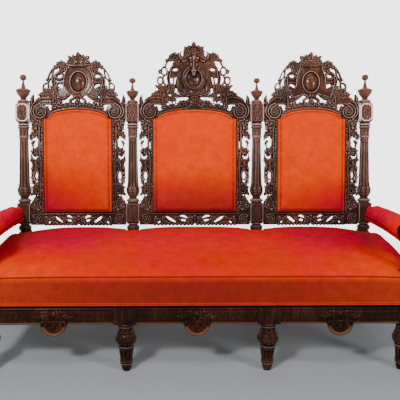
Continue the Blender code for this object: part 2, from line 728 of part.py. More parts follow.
def crest(name, centre, half_open, half_pad, shares, top, parent):
    """The pierced and carved crest over one panel, from the pad's arch to the palmette."""
    foot = SHOULDER_HEIGHT + GAP
    height = top - foot
    half = half_open - GAP
    outline = [(-half_pad - GAP, foot), (-half, foot)]
    outline += [(-x * half, foot + t * height) for x, t in shares]
    outline += [(x * half, foot + t * height) for x, t in shares[-2::-1]]
    outline += [(half, foot), (half_pad + GAP, foot)]
    outline += [(x, arch_height(x, half_pad, 2 * GAP)) for x in arch_xs(half_pad)[1:-1]]
    board = make(name, slab(outline, PANEL_FRONT, PANEL_REAR), WALNUT, parent, (centre, 0, 0))
    for x, t, wide, tall in CREST_HOLE_SHARES:
        for side in (-1, 1):
            hole = oval((side * x * half, foot + t * height), wide * half, tall * height, HOLE_SIDES)
            tool = slab(hole, PANEL_FRONT - OVERRUN, PANEL_REAR + OVERRUN)
            cut(board, make(f"{name} hole", tool, parent=parent, place=(centre, 0, 0)))
    return board


def cartouche(name, centre, top, parent):
    """An oval cabochon in a raised rim, glued on the face of the crest."""
    foot = SHOULDER_HEIGHT + GAP
    height = foot + CARTOUCHE_PLACE_SHARE * (top - foot)
    face = PANEL_FRONT - GAP
    rings = []
    for size, rise in CARTOUCHE_PROFILE_SHARES:
        edge = oval((0, height), size * CARTOUCHE_HALF_WIDTH, size * CARTOUCHE_HALF_HEIGHT, ROUND_SIDES)
        rings.append([(x, face - rise * CARTOUCHE_DEPTH, z) for x, z in edge])
    return make(name, loft(rings), WALNUT, parent, (centre, 0, 0))


def side_strip(name, centre, side, half_open, half_pad, rail, board, parent):
    """One pierced side of a panel. It touches the post at its foot only, and tenons into the crest."""
    inner = half_pad + GAP
    outer = half_open - GAP
    relieved = outer - STRIP_RELIEF
    lug = LOWER_BLOCK_FOOT + LOWER_BLOCK_HEIGHT * 2 / 3
    outline = [(inner, PANEL_FOOT), (outer, PANEL_FOOT), (outer, lug), (relieved, lug + STRIP_RELIEF)]
    outline += [(relieved, SHOULDER_HEIGHT), (inner, SHOULDER_HEIGHT)]
    sided = [(side * x, s) for x, s in outline]
    strip = make(name, slab(sided, PANEL_FRONT, PANEL_REAR), WALNUT, parent, (centre, 0, 0))
    for share in STRIP_HOLE_SHARES:
        middle = (side * (inner + relieved) / 2, PANEL_FOOT + share * (SHOULDER_HEIGHT - PANEL_FOOT))
        hole = oval(middle, HOLE_WIDTH_SHARE * STRIP_WIDTH, HOLE_LENGTH_SHARE * STRIP_WIDTH, HOLE_SIDES)
        tool = slab(hole, PANEL_FRONT - OVERRUN, PANEL_REAR + OVERRUN)
        cut(strip, make(f"{name} hole", tool, parent=parent, place=(centre, 0, 0)))
    depth = (PANEL_FRONT + PANEL_REAR) / 2
    thin = PANEL_TENON_THICKNESS / 2
    middle = side * (inner + relieved) / 2
    low = (middle - thin, depth - thin, SHOULDER_HEIGHT - OVERRUN)
    high = (middle + thin, depth + thin, SHOULDER_HEIGHT + PANEL_TENON)
    fuse(strip, make(f"{name} tenon", block(low, high), parent=parent, place=(centre, 0, 0)))
    cut(board, make(f"{name} mortise", block(*grown(low, high, GAP)), parent=parent, place=(centre, 0, 0)))
    ends = sorted((side * (inner - OVERRUN), side * (inner + PANEL_TENON)))
    low = (ends[0], depth - thin, PANEL_FOOT + TENON_SHOULDER)
    high = (ends[1], depth + thin, PANEL_FOOT + BOTTOM_RAIL_HEIGHT - TENON_SHOULDER)
    fuse(rail, make(f"{rail.name} tenon", block(low, high), parent=parent, place=(centre, 0, 0)))
    mortise = block(*grown(low, high, GAP))
    cut(strip, make(f"{rail.name} mortise", mortise, parent=parent, place=(centre, 0, 0)))
    return strip


def bottom_rail(name, centre, half_pad, parent):
    top = PANEL_FOOT + BOTTOM_RAIL_HEIGHT
    outline = [(-half_pad, PANEL_FOOT), (half_pad, PANEL_FOOT), (half_pad, top), (-half_pad, top)]
    rail = make(name, slab(outline, PANEL_FRONT, PANEL_REAR), WALNUT, parent, (centre, 0, 0))
    for share in RAIL_HOLE_SHARES:
        middle = (share * half_pad, (PANEL_FOOT + top) / 2)
        half_sizes = (HOLE_LENGTH_SHARE * BOTTOM_RAIL_HEIGHT, HOLE_WIDTH_SHARE * BOTTOM_RAIL_HEIGHT)
        hole = oval(middle, *half_sizes, HOLE_SIDES)
        tool = slab(hole, PANEL_FRONT - OVERRUN, PANEL_REAR + OVERRUN)
        cut(rail, make(f"{name} hole", tool, parent=parent, place=(centre, 0, 0)))
    return rail


def pad_outline(half_width):
    """The shouldered arch of a back pad, counter-clockwise from its lower right corner, and its middle."""
    half = half_width - GAP
    foot = PANEL_FOOT + BOTTOM_RAIL_HEIGHT + GAP
    steps = PAD_OUTLINE_STEPS
    line = [(half, foot + (SHOULDER_HEIGHT - foot) * i / steps) for i in range(steps)]
    line += [(x, arch_height(x, half)) for x in arch_xs(half)]
    line += [(-half, SHOULDER_HEIGHT - (SHOULDER_HEIGHT - foot) * i / steps) for i in range(1, steps + 1)]
    line += [(-half + 2 * half * i / steps, foot) for i in range(1, steps)]
    return line, (foot + SHOULDER_HEIGHT) / 2


def back_pad(name, centre, half_pad, parent):
    """A stuffed back pad: sides drawn in to a seam, and a crown inside it."""
    line, middle = pad_outline(half_pad)
    rear = PANEL_REAR - LINING_THICKNESS - GAP
    front = rear - BACK_PAD_DEPTH
    rings = []
    for size, depth in (
        (0.99, rear), (1.0, (rear + front) / 2), (0.985, front), (0.955, front - BACK_PAD_CROWN * 0.22),
        (0.93, front - BACK_PAD_CROWN * 0.18), (0.86, front - BACK_PAD_CROWN * 0.55),
        (0.66, front - BACK_PAD_CROWN * 0.84), (0.36, front - BACK_PAD_CROWN),
    ):
        rings.append([(size * x, depth, size * (s - middle) + middle) for x, s in line])
    return make(name, loft(rings), VELVET, parent, (centre, 0, 0))


def back_lining(name, centre, half_pad, parent):
    """The thin board and cloth that close a panel from behind, let in behind the pad."""
    line, _ = pad_outline(half_pad)
    return make(name, slab(line, PANEL_REAR - LINING_THICKNESS, PANEL_REAR), LINEN, parent, (centre, 0, 0))


def panel(bay, left_post, right_post, shares, top, parent):
    """All the pieces of one back panel, hung between two posts."""
    centre = (left_post.location.x + right_post.location.x) / 2
    half_open = (right_post.location.x - left_post.location.x) / 2 - HALF_POST
    half_pad = half_open - STRIP_WIDTH
    board = crest(f"crest_{bay}", centre, half_open, half_pad, shares, top, parent)
    cartouche(f"cartouche_{bay}", centre, top, parent)
    rail = bottom_rail(f"panel_rail_{bay}", centre, half_pad, parent)
    for word, side in (("left", -1), ("right", 1)):
        side_strip(f"panel_side_{bay}_{word}", centre, side, half_open, half_pad, rail, board, parent)
    back_pad(f"back_pad_{bay}", centre, half_pad, parent)
    back_lining(f"back_lining_{bay}", centre, half_pad, parent)


def post_face_y(z):
    """The front face of a back post's square at a height above the floor."""
    return BACK_Y + (z - SEAT_LINE) * TAN_RAKE - HALF_POST / COS_RAKE


def arm_station(share):
    """Where the arm is between the post, at 0, and the front scroll, at 1: its x, y, underside and top."""
    rear_y = post_face_y(ARM_REAR_Z + ARM_THICKNESS)
    front_y = LEG_Y + ARM_SCROLL_REAR
    x = ARM_REAR_X + share * (OUTER_LEG_X - ARM_REAR_X) + ARM_BOW * math.sin(math.pi * share)
    under = ARM_REAR_Z + share * (ARM_SUPPORT_TOP + GAP - ARM_REAR_Z)
    return x, rear_y + share * (front_y - rear_y), under, under + ARM_THICKNESS


def arm_rail(name, side, post, support):
    """The arm: a bowed bar tenoned into the post, ending in a round scroll over the support."""
    half = ARM_WIDTH / 2
    rings = []
    for i in range(ARM_STATIONS):
        x, y, under, top = arm_station(i / (ARM_STATIONS - 1))
        corners = ((x - half, under), (x + half, under), (x + half, top), (x - half, top))
        if i == 0:
            rings.append([(side * across, post_face_y(z) - GAP, z) for across, z in corners])
        else:
            rings.append([(side * across, y, z) for across, z in corners])
    rings.append([(x, y - ARM_SCROLL_REAR, z) for x, y, z in rings[-1]])
    arm = make(name, loft(rings), WALNUT)
    centre_z = ARM_SUPPORT_TOP + GAP + ARM_SCROLL_RADIUS
    rings = []
    for size, y in ((0.84, -ARM_SCROLL_FRONT), (1.0, -ARM_SCROLL_FRONT / 2), (1.0, ARM_SCROLL_REAR)):
        radius = size * ARM_SCROLL_RADIUS
        edge = oval((side * OUTER_LEG_X, centre_z), radius, radius, ROUND_SIDES)
        rings.append([(x, LEG_Y + y, z) for x, z in edge])
    fuse(arm, make(f"{name} scroll", loft(rings)))
    saddle = SUPPORT_RADIUS * SUPPORT_PROFILE_SHARES[-1][0]
    saddle_low = (side * OUTER_LEG_X - saddle, LEG_Y - ARM_SCROLL_FRONT / 2, ARM_SUPPORT_TOP + GAP)
    saddle_high = (side * OUTER_LEG_X + saddle, LEG_Y + saddle, centre_z)
    fuse(arm, make(f"{name} saddle", block(saddle_low, saddle_high)))
    thin = TENON_THICKNESS / 2
    face = post_face_y(ARM_REAR_Z + ARM_THICKNESS / 2)
    seat = min(OUTER_POST_X + HALF_POST - TENON_THICKNESS, ARM_REAR_X)
    low = (side * seat - thin, face - OVERRUN, ARM_REAR_Z + thin / 2)
    high = (side * seat + thin, face + TENON_LENGTH, ARM_REAR_Z + ARM_THICKNESS - thin / 2)
    mortised(arm, post, low, high)
    peg = [(PEG_RADIUS, ARM_SUPPORT_TOP - OVERRUN), (PEG_RADIUS, ARM_SUPPORT_TOP + PEG_LENGTH)]
    fuse(support, make(f"{name} peg", turned(peg, PEG_SIDES), place=support.location))
    wide = PEG_RADIUS + GAP
    bore = [(wide, ARM_SUPPORT_TOP - OVERRUN), (wide, ARM_SUPPORT_TOP + PEG_LENGTH + GAP)]
    cut(arm, make(f"{name} bore", turned(bore, PEG_SIDES), place=support.location))
    return arm


def arm_pad(name, side):
    """The stuffed arm pad: a roll that thickens towards the front, drawn in to a seam over the arm."""
    rings = []
    for i in range(ARM_STATIONS):
        share = i / (ARM_STATIONS - 1)
        x, y, _, foot = arm_station(share)
        foot += GAP
        plump = 0.86 + 0.14 * math.sin(math.pi * share) ** 0.3
        width = ARM_PAD_REAR_WIDTH + share * (ARM_PAD_FRONT_WIDTH - ARM_PAD_REAR_WIDTH)
        height = ARM_PAD_REAR_HEIGHT + share * (ARM_PAD_FRONT_HEIGHT - ARM_PAD_REAR_HEIGHT)
        half = plump * width / 2
        tall = plump * height - ARM_PAD_SEAM
        ring = [(-ARM_WIDTH / 2, foot), (ARM_WIDTH / 2, foot)]
        for k in range(9):
            angle = math.pi * k / 8
            ring.append((half * math.cos(angle), foot + ARM_PAD_SEAM + tall * math.sin(angle) ** 0.8))
        if i == 0:
            rings.append([(side * (x + across), post_face_y(z) - GAP, z) for across, z in ring])
        else:
            front_gap = GAP if i == ARM_STATIONS - 1 else 0
            rings.append([(side * (x + across), y + front_gap, z) for across, z in ring])
    return make(name, loft(rings), VELVET)


def arm_support(name, side, leg):
    """A turned support on a square stump that stands on the corner leg, through the seat's corner."""
    half = STUMP_WIDTH / 2
    stump_top = SEAT_FRONT_Z + STUMP_ABOVE_SEAT
    place = (side * OUTER_LEG_X, LEG_Y, 0)
    stump = block((-half, -half + TACKING_SETBACK / 2, RAIL_TOP + GAP), (half, half, stump_top))
    support = make(name, stump, WALNUT, place=place)
    line = profile(SUPPORT_PROFILE_SHARES, SUPPORT_RADIUS, stump_top, ARM_SUPPORT_TOP)
    line.insert(0, (line[0][0], stump_top - OVERRUN))
    fuse(support, make(f"{name} baluster", turned(line), place=place))
    peg = [(PEG_RADIUS, RAIL_TOP - PEG_LENGTH), (PEG_RADIUS, RAIL_TOP + OVERRUN)]
    fuse(support, make(f"{name} foot peg", turned(peg, PEG_SIDES), place=place))
    bore = [(PEG_RADIUS + GAP, RAIL_TOP - PEG_LENGTH - GAP), (PEG_RADIUS + GAP, RAIL_TOP + OVERRUN)]
    cut(leg, make(f"{name} foot bore", turned(bore, PEG_SIDES), place=place))
    return support


def pendant(name, x):
    """A scallop shell that hangs from the middle of a front rail."""
    outline = [(-PENDANT_RADIUS * 0.9, RAIL_SHOW / 3), (-PENDANT_RADIUS, 0)]
    for i in range(2 * SHELL_RIBS + 1):
        angle = math.pi + math.pi * i / (2 * SHELL_RIBS)
        reach = PENDANT_RADIUS * (1.0 if i % 2 else 0.93)
        outline.append((reach * math.cos(angle), reach * math.sin(angle)))
    outline += [(PENDANT_RADIUS, 0), (PENDANT_RADIUS * 0.9, RAIL_SHOW / 3)]
    rings = []
    for size, depth in ((1.0, 0.0), (1.0, 0.4), (0.8, 1.0)):
        y = LEG_Y + PENDANT_REAR - depth * PENDANT_DEPTH
        rings.append([(x + size * across, y, RAIL_BOTTOM + size * z) for across, z in outline])
    return make(name, loft(rings), DARK_WALNUT)


def build():
    clear_scene()
    back = bpy.data.objects.new("plane of the back", None)
    bpy.context.collection.objects.link(back)
    back.matrix_world = BACK

    post_x = {
        "outer_left": -OUTER_POST_X, "inner_left": -INNER_POST_X,
        "inner_right": INNER_POST_X, "outer_right": OUTER_POST_X,
    }
    form = post_form()
    posts = {}
    for word, x in post_x.items():
        posts[word] = place_mesh(f"back_post_{word}", form.copy(), WALNUT, back, (x, 0, 0))
        outer = word.startswith("outer")
        height = OUTER_FINIAL_HEIGHT if outer else INNER_FINIAL_HEIGHT
        finial(f"finial_{word}", posts[word], height, OUTER_CUP_RADIUS if outer else INNER_CUP_RADIUS)

    legs = {
        "outer_left": front_leg("front_leg_outer_left", -OUTER_LEG_X, CORNER_BLOCK, -1),
        "inner_left": front_leg("front_leg_inner_left", -INNER_LEG_X, INNER_BLOCK, 0),
        "inner_right": front_leg("front_leg_inner_right", INNER_LEG_X, INNER_BLOCK, 0),
        "outer_right": front_leg("front_leg_outer_right", OUTER_LEG_X, CORNER_BLOCK, 1),
    }
    half_leg = {word: (CORNER_BLOCK if word.startswith("outer") else INNER_BLOCK) / 2 for word in legs}

    bays = (
        ("left", "outer_left", "inner_left"),
        ("centre", "inner_left", "inner_right"),
        ("right", "inner_right", "outer_right"),
    )
    for bay, first, second in bays:
        front_rail(f"front_rail_{bay}", legs[first], half_leg[first], legs[second], half_leg[second])
        back_rail(f"back_rail_{bay}", posts[first], posts[second])
        shares = CENTRE_CREST_SHARES if bay == "centre" else SIDE_CREST_SHARES
        top = CENTRE_CREST_TOP if bay == "centre" else SIDE_CREST_TOP
        panel(bay, posts[first], posts[second], shares, top, back)
        middle = (legs[first].location.x + half_leg[first] + legs[second].location.x - half_leg[second]) / 2
        pendant(f"shell_pendant_{bay}", middle)

    supports = []
    for word, side in (("left", -1), ("right", 1)):
        leg = legs[f"outer_{word}"]
        post = posts[f"outer_{word}"]
        side_rail(f"side_rail_{word}", leg, post, side)
        cross_rail(f"cross_rail_{word}", legs[f"inner_{word}"], posts[f"inner_{word}"])
        corner_brace(f"corner_brace_front_{word}", side, LEG_Y + RAIL_FACE + RAIL_THICKNESS, 1)
        corner_brace(f"corner_brace_rear_{word}", side, STILE_Y - BACK_RAIL_THICKNESS / 2, -1)
        supports.append(arm_support(f"arm_support_{word}", side, leg))
        arm_rail(f"arm_rail_{word}", side, post, supports[-1])
        arm_pad(f"arm_pad_{word}", side)

    webbing()
    springs()
    seat_cushion(posts.values(), supports)


build()
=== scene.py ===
# %% [markdown]
# # A carved hall sofa
# The joiner's sofa is packed as plain solids: posts, rails, pierced boards, pads. This lesson dresses
# them. Wood is carved with height fields, as a carver lowers a board from its face, and the velvet is
# blown up by a short cloth simulation. Every finish is built from shader nodes.

import copy
import math

import bmesh
import bpy
import numpy as np
from mathutils import Matrix, Vector


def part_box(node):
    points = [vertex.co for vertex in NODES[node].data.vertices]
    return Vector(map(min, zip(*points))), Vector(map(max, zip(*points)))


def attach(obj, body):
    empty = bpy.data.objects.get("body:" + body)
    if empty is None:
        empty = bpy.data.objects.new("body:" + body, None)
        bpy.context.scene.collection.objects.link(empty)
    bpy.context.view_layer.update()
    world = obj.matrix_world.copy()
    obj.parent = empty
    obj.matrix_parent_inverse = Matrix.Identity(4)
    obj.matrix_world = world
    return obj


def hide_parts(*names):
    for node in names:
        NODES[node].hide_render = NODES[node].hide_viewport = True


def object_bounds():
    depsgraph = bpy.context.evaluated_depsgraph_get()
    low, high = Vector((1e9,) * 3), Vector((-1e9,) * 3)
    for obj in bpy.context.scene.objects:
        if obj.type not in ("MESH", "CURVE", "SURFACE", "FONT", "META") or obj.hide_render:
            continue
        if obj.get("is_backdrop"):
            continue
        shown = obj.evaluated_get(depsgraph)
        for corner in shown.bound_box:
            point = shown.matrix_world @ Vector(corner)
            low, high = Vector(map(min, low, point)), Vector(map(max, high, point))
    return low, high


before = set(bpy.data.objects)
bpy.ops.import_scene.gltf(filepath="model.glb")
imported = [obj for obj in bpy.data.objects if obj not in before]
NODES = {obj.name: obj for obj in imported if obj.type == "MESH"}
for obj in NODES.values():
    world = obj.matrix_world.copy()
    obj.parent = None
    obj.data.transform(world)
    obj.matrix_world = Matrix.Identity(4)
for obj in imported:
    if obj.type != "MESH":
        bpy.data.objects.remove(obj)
cad_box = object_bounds()
print(f"{len(NODES)} solids in a box of {[round(b - a, 3) for a, b in zip(*cad_box)]} m")

# %% [markdown]
# ## Camera
# The photo was taken from a standing person's eye, a little left of the middle, looking down by eleven
# degrees. A Blender camera looks down its own -Z, so it is first stood up by 90 degrees less the tilt.

# %% The photographer's place
EYE = (-0.0551, -2.7713, 1.257)
TILT, TURN = 11.5, -0.6
LENS, SENSOR, SHIFT = 54, 36, 0.0245

camera = bpy.data.objects.new("camera", bpy.data.cameras.new("camera"))
bpy.context.scene.collection.objects.link(camera)
camera.location = EYE
camera.rotation_euler = (math.radians(90 - TILT), 0, math.radians(TURN))
camera.data.sensor_width = SENSOR
camera.data.lens = LENS
camera.data.shift_x = SHIFT
bpy.context.scene.camera = camera
print(f"the camera stands {-EYE[1]:.2f} m before the sofa, {EYE[2]:.2f} m up")

# %% [markdown]
# ## Studio
# A pale floor and a pale world give soft light from all round. Four lamps model the carving: one from the
# upper left, one low from the right, one over the seat, and a long thin one that draws a bright line
# along every edge that faces up.


# %% Floor, world and lamps
def mesh_from(name, points, faces):
    mesh = bpy.data.meshes.new(name)
    mesh.from_pydata([tuple(p) for p in points], [], [tuple(f) for f in faces])
    mesh.update()
    return mesh


def coordinates(mesh):
    flat = np.empty(len(mesh.vertices) * 3)
    mesh.vertices.foreach_get("co", flat)
    return flat.reshape(-1, 3)


def piece_from(name, mesh):
    piece = bpy.data.objects.new(name, mesh)
    bpy.context.scene.collection.objects.link(piece)
    return piece


def lamp(name, place, target, size, power):
    light = bpy.data.lights.new(name, "AREA")
    light.shape = "RECTANGLE"
    light.size, light.size_y = size
    light.energy = power
    holder = bpy.data.objects.new(name, light)
    bpy.context.scene.collection.objects.link(holder)
    holder.location = place
    holder.rotation_euler = (Vector(target) - Vector(place)).to_track_quat("-Z", "Y").to_euler()


FAR = 3
floor_corners = [(-FAR, -FAR, 0), (FAR, -FAR, 0), (FAR, FAR, 0), (-FAR, FAR, 0)]
floor = piece_from("floor", mesh_from("floor", floor_corners, [(0, 1, 2, 3)]))
floor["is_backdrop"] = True
lamp("key lamp", (-1.5, -2.8, 2.5), (0, 0, 0.8), (0.5, 0.4), 132)
lamp("fill lamp", (2.6, -2.4, 1.6), (0, 0, 0.8), (0.6, 0.6), 56)
lamp("top lamp", (0, 0.4, 3.0), (0, 0.1, 0.6), (2.6, 1.2), 16)
lamp("strip lamp", (0, -1.7, 3.1), (0, 0.1, 0.9), (3.6, 0.14), 40)

# %% [markdown]
# ## Shader sums
# Finishes are sums of textures. A small class wraps a socket, so a sum is written as in Python and
# each sign adds one Math node. Colours are mixed by a Mix node, because a Math node turns them grey.


# %% A socket that can be added, and one way to place any node
class Wire:
    def __init__(self, tree, socket):
        self.tree = tree
        self.socket = socket

    def maths(self, operation, first, second):
        return node(self.tree, "ShaderNodeMath", {"operation": operation}, {0: first, 1: second})

    def __add__(self, other):
        return self.maths("ADD", self, other)

    def __sub__(self, other):
        return self.maths("SUBTRACT", self, other)

    def __rsub__(self, other):
        return self.maths("SUBTRACT", other, self)

    def __mul__(self, other):
        return self.maths("MULTIPLY", self, other)

    __radd__ = __add__
    __rmul__ = __mul__


def node(tree, kind, settings=None, sockets=None, out=0):
    made = tree.nodes.new(kind)
    for key, value in (settings or {}).items():
        if key == "stops":
            colours = made.color_ramp.elements
            while len(colours) < len(value):
                colours.new(0.5)
            for element, (place, colour) in zip(colours, value):
                element.position = place
                element.color = (*colour, 1)
        else:
            setattr(made, key, value)
    for key, value in (sockets or {}).items():
        if isinstance(value, Wire):
            tree.links.new(value.socket, made.inputs[key])
        elif value is not None:
            made.inputs[key].default_value = value
    return Wire(tree, made.outputs[out])


def noise(tree, place, scale, detail):
    return node(tree, "ShaderNodeTexNoise", {}, {"Vector": place, "Scale": scale, "Detail": detail})


def threads(tree, place, direction, scale, distortion):
    sockets = {"Vector": place, "Scale": scale, "Distortion": distortion, "Detail": 2.0}
    return node(tree, "ShaderNodeTexWave", {"bands_direction": direction}, sockets)


def stretched_place(tree, stretch):
    """Where a point lies in the sofa's own space, drawn out along the grain."""
    return node(tree, "ShaderNodeMapping", {}, {0: node(tree, "ShaderNodeTexCoord", out=3), 3: stretch})


def ramp(tree, stops, share):
    return node(tree, "ShaderNodeValToRGB", {"stops": stops}, {0: share})


def held_within(tree, wire):
    """Cut off below 0 and above 1."""
    return node(tree, "ShaderNodeClamp", {}, {0: wire})


def scaled(tree, colour, share):
    return node(tree, "ShaderNodeVectorMath", {"operation": "SCALE"}, {0: colour, "Scale": share})


def bumps(tree, strength, height):
    """A bump node for relief of one millimetre."""
    return node(tree, "ShaderNodeBump", {}, {"Strength": strength, "Distance": 0.001, "Height": height})


def blend_colours(tree, share, first, second):
    sockets = {0: share, 6: first, 7: second}
    return node(tree, "ShaderNodeMix", {"data_type": "RGBA"}, sockets, 2)


def finish(name, **constants):
    """An empty finish: its tree, and its shader with the values that are the same all over."""
    made = bpy.data.materials.new(name)
    made.use_nodes = True
    shader = made.node_tree.nodes["Principled BSDF"]
    for key, value in constants.items():
        shader.inputs[key.replace("_", " ").title()].default_value = value
    return made, made.node_tree, shader


def feed(tree, shader, **wires):
    for key, wire in wires.items():
        tree.links.new(wire.socket, shader.inputs[key.replace("_", " ").title()])


# %% [markdown]
# ## Walnut
# Old polished walnut is painted nearly black in the hollows, as shade, and reddish and bright on the
# edges, partly as rubbed wear and partly as a painted highlight. The carving tools below leave that on
# each mesh as one number, from -1 in a hollow to 1 on an edge. The grain is a noise stretched along the
# board. The wood is painted lighter up the sofa and darker near the floor, as light from above, and near
# the floor the polish is dull from shoes and mops. The posts and finials are painted paler and greyer,
# as lit wood, and the middle crest darker, as shaded wood. The rails carry a painted golden highlight
# along their foot, and the legs are plain: one function makes all of these woods.


# %% Carved walnut
# The near-black is painted shade in the hollows. The worn colour is partly wear and partly a painted
# highlight.
HOLLOW_SHADE = (0.003, 0.0010, 0.0006, 1)
WORN_HIGHLIGHT = (0.66, 0.45, 0.40)
TONES = [(0.36, (0.009, 0.0027, 0.0011)), (0.50, (0.036, 0.0108, 0.0044)), (0.64, (0.110, 0.036, 0.0145))]


def walnut(
    name, pale=1.0, even=0.0, tint=(1, 1, 1), heights=(0.22, 1.35), shades=(0.52, 1.42), rub_and_highlight=0.62, worn_highlight=WORN_HIGHLIGHT
):
    """Pale lightens the wood, even calms its figure, and tint colours it. Heights and shades say from
    where to where it is painted lighter up the sofa, as light from above. Rub is how far its edges show
    the worn colour, which is partly wear and partly a painted highlight."""
    made, tree, shader = finish(name, coat_roughness=0.17)
    shader.inputs["Specular IOR Level"].default_value = 0.12
    shader.inputs["Specular Tint"].default_value = (1.0, 0.78, 0.66, 1)
    wear = node(tree, "ShaderNodeAttribute", {"attribute_name": "wear"}, out=2)
    place = node(tree, "ShaderNodeTexCoord", out=3)
    stretched = stretched_place(tree, (14, 14, 3))
    sockets = {"Vector": stretched, "Scale": 5.0, "Detail": 6.0, "Roughness": 0.62}
    streaks = node(tree, "ShaderNodeTexNoise", {}, sockets)
    patches = noise(tree, place, 7.0, 3.0)
    middle = TONES[1][1]
    stops = []
    for at, tone in TONES:
        calmed = zip(tone, middle, tint)
        stops.append((at, tuple(pale * hue * (part + even * (mid - part)) for part, mid, hue in calmed)))
    wood = ramp(tree, stops, streaks * 0.55 + patches * 0.45)
    # Painted highlight and shade: edges take the worn colour, partly wear and partly highlight, and hollows
    # are painted near-black, as shade.
    edges = held_within(tree, wear * 1.25 - 0.12)
    shaded_hollows = held_within(tree, wear * -3.0 + 0.1)
    worn_and_highlighted = blend_colours(tree, edges * edges * rub_and_highlight, wood, (*worn_highlight, 1))
    carved = blend_colours(tree, shaded_hollows * 0.96, worn_and_highlighted, HOLLOW_SHADE)
    # Painted light: the wood is scaled lighter higher up the sofa and darker near the floor, as light falling
    # from above.
    height = node(tree, "ShaderNodeSeparateXYZ", {}, {0: place}, out=2)
    reach = {0: height, 1: heights[0], 2: heights[1], 3: shades[0], 4: shades[1]}
    upper = node(tree, "ShaderNodeMapRange", {}, reach)
    grit = noise(tree, stretched, 30.0, 4.0)
    polish = (1 - shaded_hollows) * (upper * 0.50 - 0.22)
    gloss = 0.36 + shaded_hollows * 0.5 + grit * 0.1
    feed(tree, shader, base_color=scaled(tree, carved, upper), roughness=gloss, coat_weight=polish)
    feed(tree, shader, normal=bumps(tree, 0.12, grit))
    return made


WALNUT = walnut("carved walnut")
# Painted light: the posts and finials get paler, greyer and brighter-edged walnut than the rest, as the lit
# upper back.
LIT_POST = {"pale": 3.1, "tint": (1, 1.2, 1.9), "heights": (0.50, 1.00), "shades": (0.28, 1.0)}
LIT_POST_WALNUT = walnut("lit post walnut", even=0.5, rub_and_highlight=0.95, worn_highlight=(0.84, 0.64, 0.60), **LIT_POST)
FINIAL_WALNUT = walnut("finial walnut", even=0.9, rub_and_highlight=0.85, **LIT_POST)
# Painted highlight: the rail's worn colour is the golden highlight on its foot bead and on the shell rims.
RAIL_WALNUT = walnut("rail walnut", rub_and_highlight=0.75, worn_highlight=(0.25, 0.10, 0.043))
# Painted shade: the middle crest gets a darker, duller copy of the walnut, as shaded wood.
SHADED_CREST_WALNUT = walnut("shaded crest walnut", 1.2, shades=(0.40, 1.00))
LEG_WALNUT = walnut("leg walnut", 1.15, rub_and_highlight=0.30)
WOODS = (WALNUT, LIT_POST_WALNUT, FINIAL_WALNUT, RAIL_WALNUT, SHADED_CREST_WALNUT, LEG_WALNUT)
print("woods made:", ", ".join(wood.name for wood in WOODS))

# %% [markdown]
# ## Backdrop
# The sofa stands before white, but its polish would turn grey if white light came from the front too.
# So the world is white behind and below, and dim in front and above. The floor is a pale grey plane
# whose rim fades away, so no edge of it shows.


# %% White backdrop and pale floor
WHITE_LIGHT, LOW_LIGHT, FRONT_LIGHT, ZENITH_LIGHT = 3.4, 1.3, 0.17, 0.2


def eased(tree, wire, low, high, first, last):
    sockets = {0: wire, 1: low, 2: high, 3: first, 4: last}
    return node(tree, "ShaderNodeMapRange", {"interpolation_type": "SMOOTHSTEP"}, sockets)


world = bpy.data.worlds.new("studio")
bpy.context.scene.world = world
world.use_nodes = True
sky = world.node_tree
direction = node(sky, "ShaderNodeTexCoord")
depth = node(sky, "ShaderNodeSeparateXYZ", {}, {0: direction}, out=1)
height = node(sky, "ShaderNodeSeparateXYZ", {}, {0: direction}, out=2)
behind = eased(sky, depth, -0.2, 0.6, 0.0, 1.0)
below = eased(sky, height, -0.12, 0.04, 1.0, 0.0)
level = FRONT_LIGHT + behind * (WHITE_LIGHT - FRONT_LIGHT) + below * (1 - behind) * LOW_LIGHT
background = sky.nodes["Background"]
sky.links.new(eased(sky, height, 0.15, 0.5, level, ZENITH_LIGHT).socket, background.inputs["Strength"])
background.inputs["Color"].default_value = (1, 1, 1, 1)

PALE_FLOOR, floor_tree, floor_shader = finish("pale floor", roughness=0.8)
floor_shader.inputs["Base Color"].default_value = (0.25, 0.26, 0.28, 1)
floor_place = node(floor_tree, "ShaderNodeTexCoord", out=3)
outwards = node(floor_tree, "ShaderNodeVectorMath", {"operation": "LENGTH"}, {0: floor_place}, out=1)
feed(floor_tree, floor_shader, alpha=eased(floor_tree, outwards, 1.4, 2.6, 1.0, 0.0))
floor.data.materials.append(PALE_FLOOR)

# %% [markdown]
# ## Carving as a height field
# A pierced panel is one board: the carver saws the openings, then lowers the ground from the face. So
# each board is a grid of heights above its ground, with a second number, edge, that says how far a
# point is inside the wood. Motifs only ever raise the wood, and the highest one wins, as it does when
# leaves overlap. Where edge falls below zero the board is sawn away.


# %% A board that motifs are carved on
CARVING_STEP = 0.0018
ARRIS = 0.0022


def smoothly(value, low, high):
    share = np.clip((value - low) / (high - low), 0, 1)
    return share * share * (3 - 2 * share)


def softened(field, passes):
    """The same grid with each value averaged with its neighbours, a few times over."""
    for _ in range(passes):
        padded = np.pad(field, 1, mode="edge")
        beside = padded[:-2, 1:-1] + padded[2:, 1:-1] + padded[1:-1, :-2] + padded[1:-1, 2:]
        field = (beside + 4 * field) / 8
    return field


PIECES = 7


def flowing(points):
    """A smooth line through control points, as a long list of points."""
    knots = np.array(points, float)
    knots = np.vstack([2 * knots[0] - knots[1], knots, 2 * knots[-1] - knots[-2]])
    line = []
    for before, start, end, after in zip(knots, knots[1:], knots[2:], knots[3:]):
        for t in np.arange(PIECES) / PIECES:
            bend = 2 * start + (end - before) * t + (2 * before - 5 * start + 4 * end - after) * t**2
            line.append((bend + (3 * start - before - 3 * end + after) * t**3) / 2)
    return np.array(line + [knots[-2]])


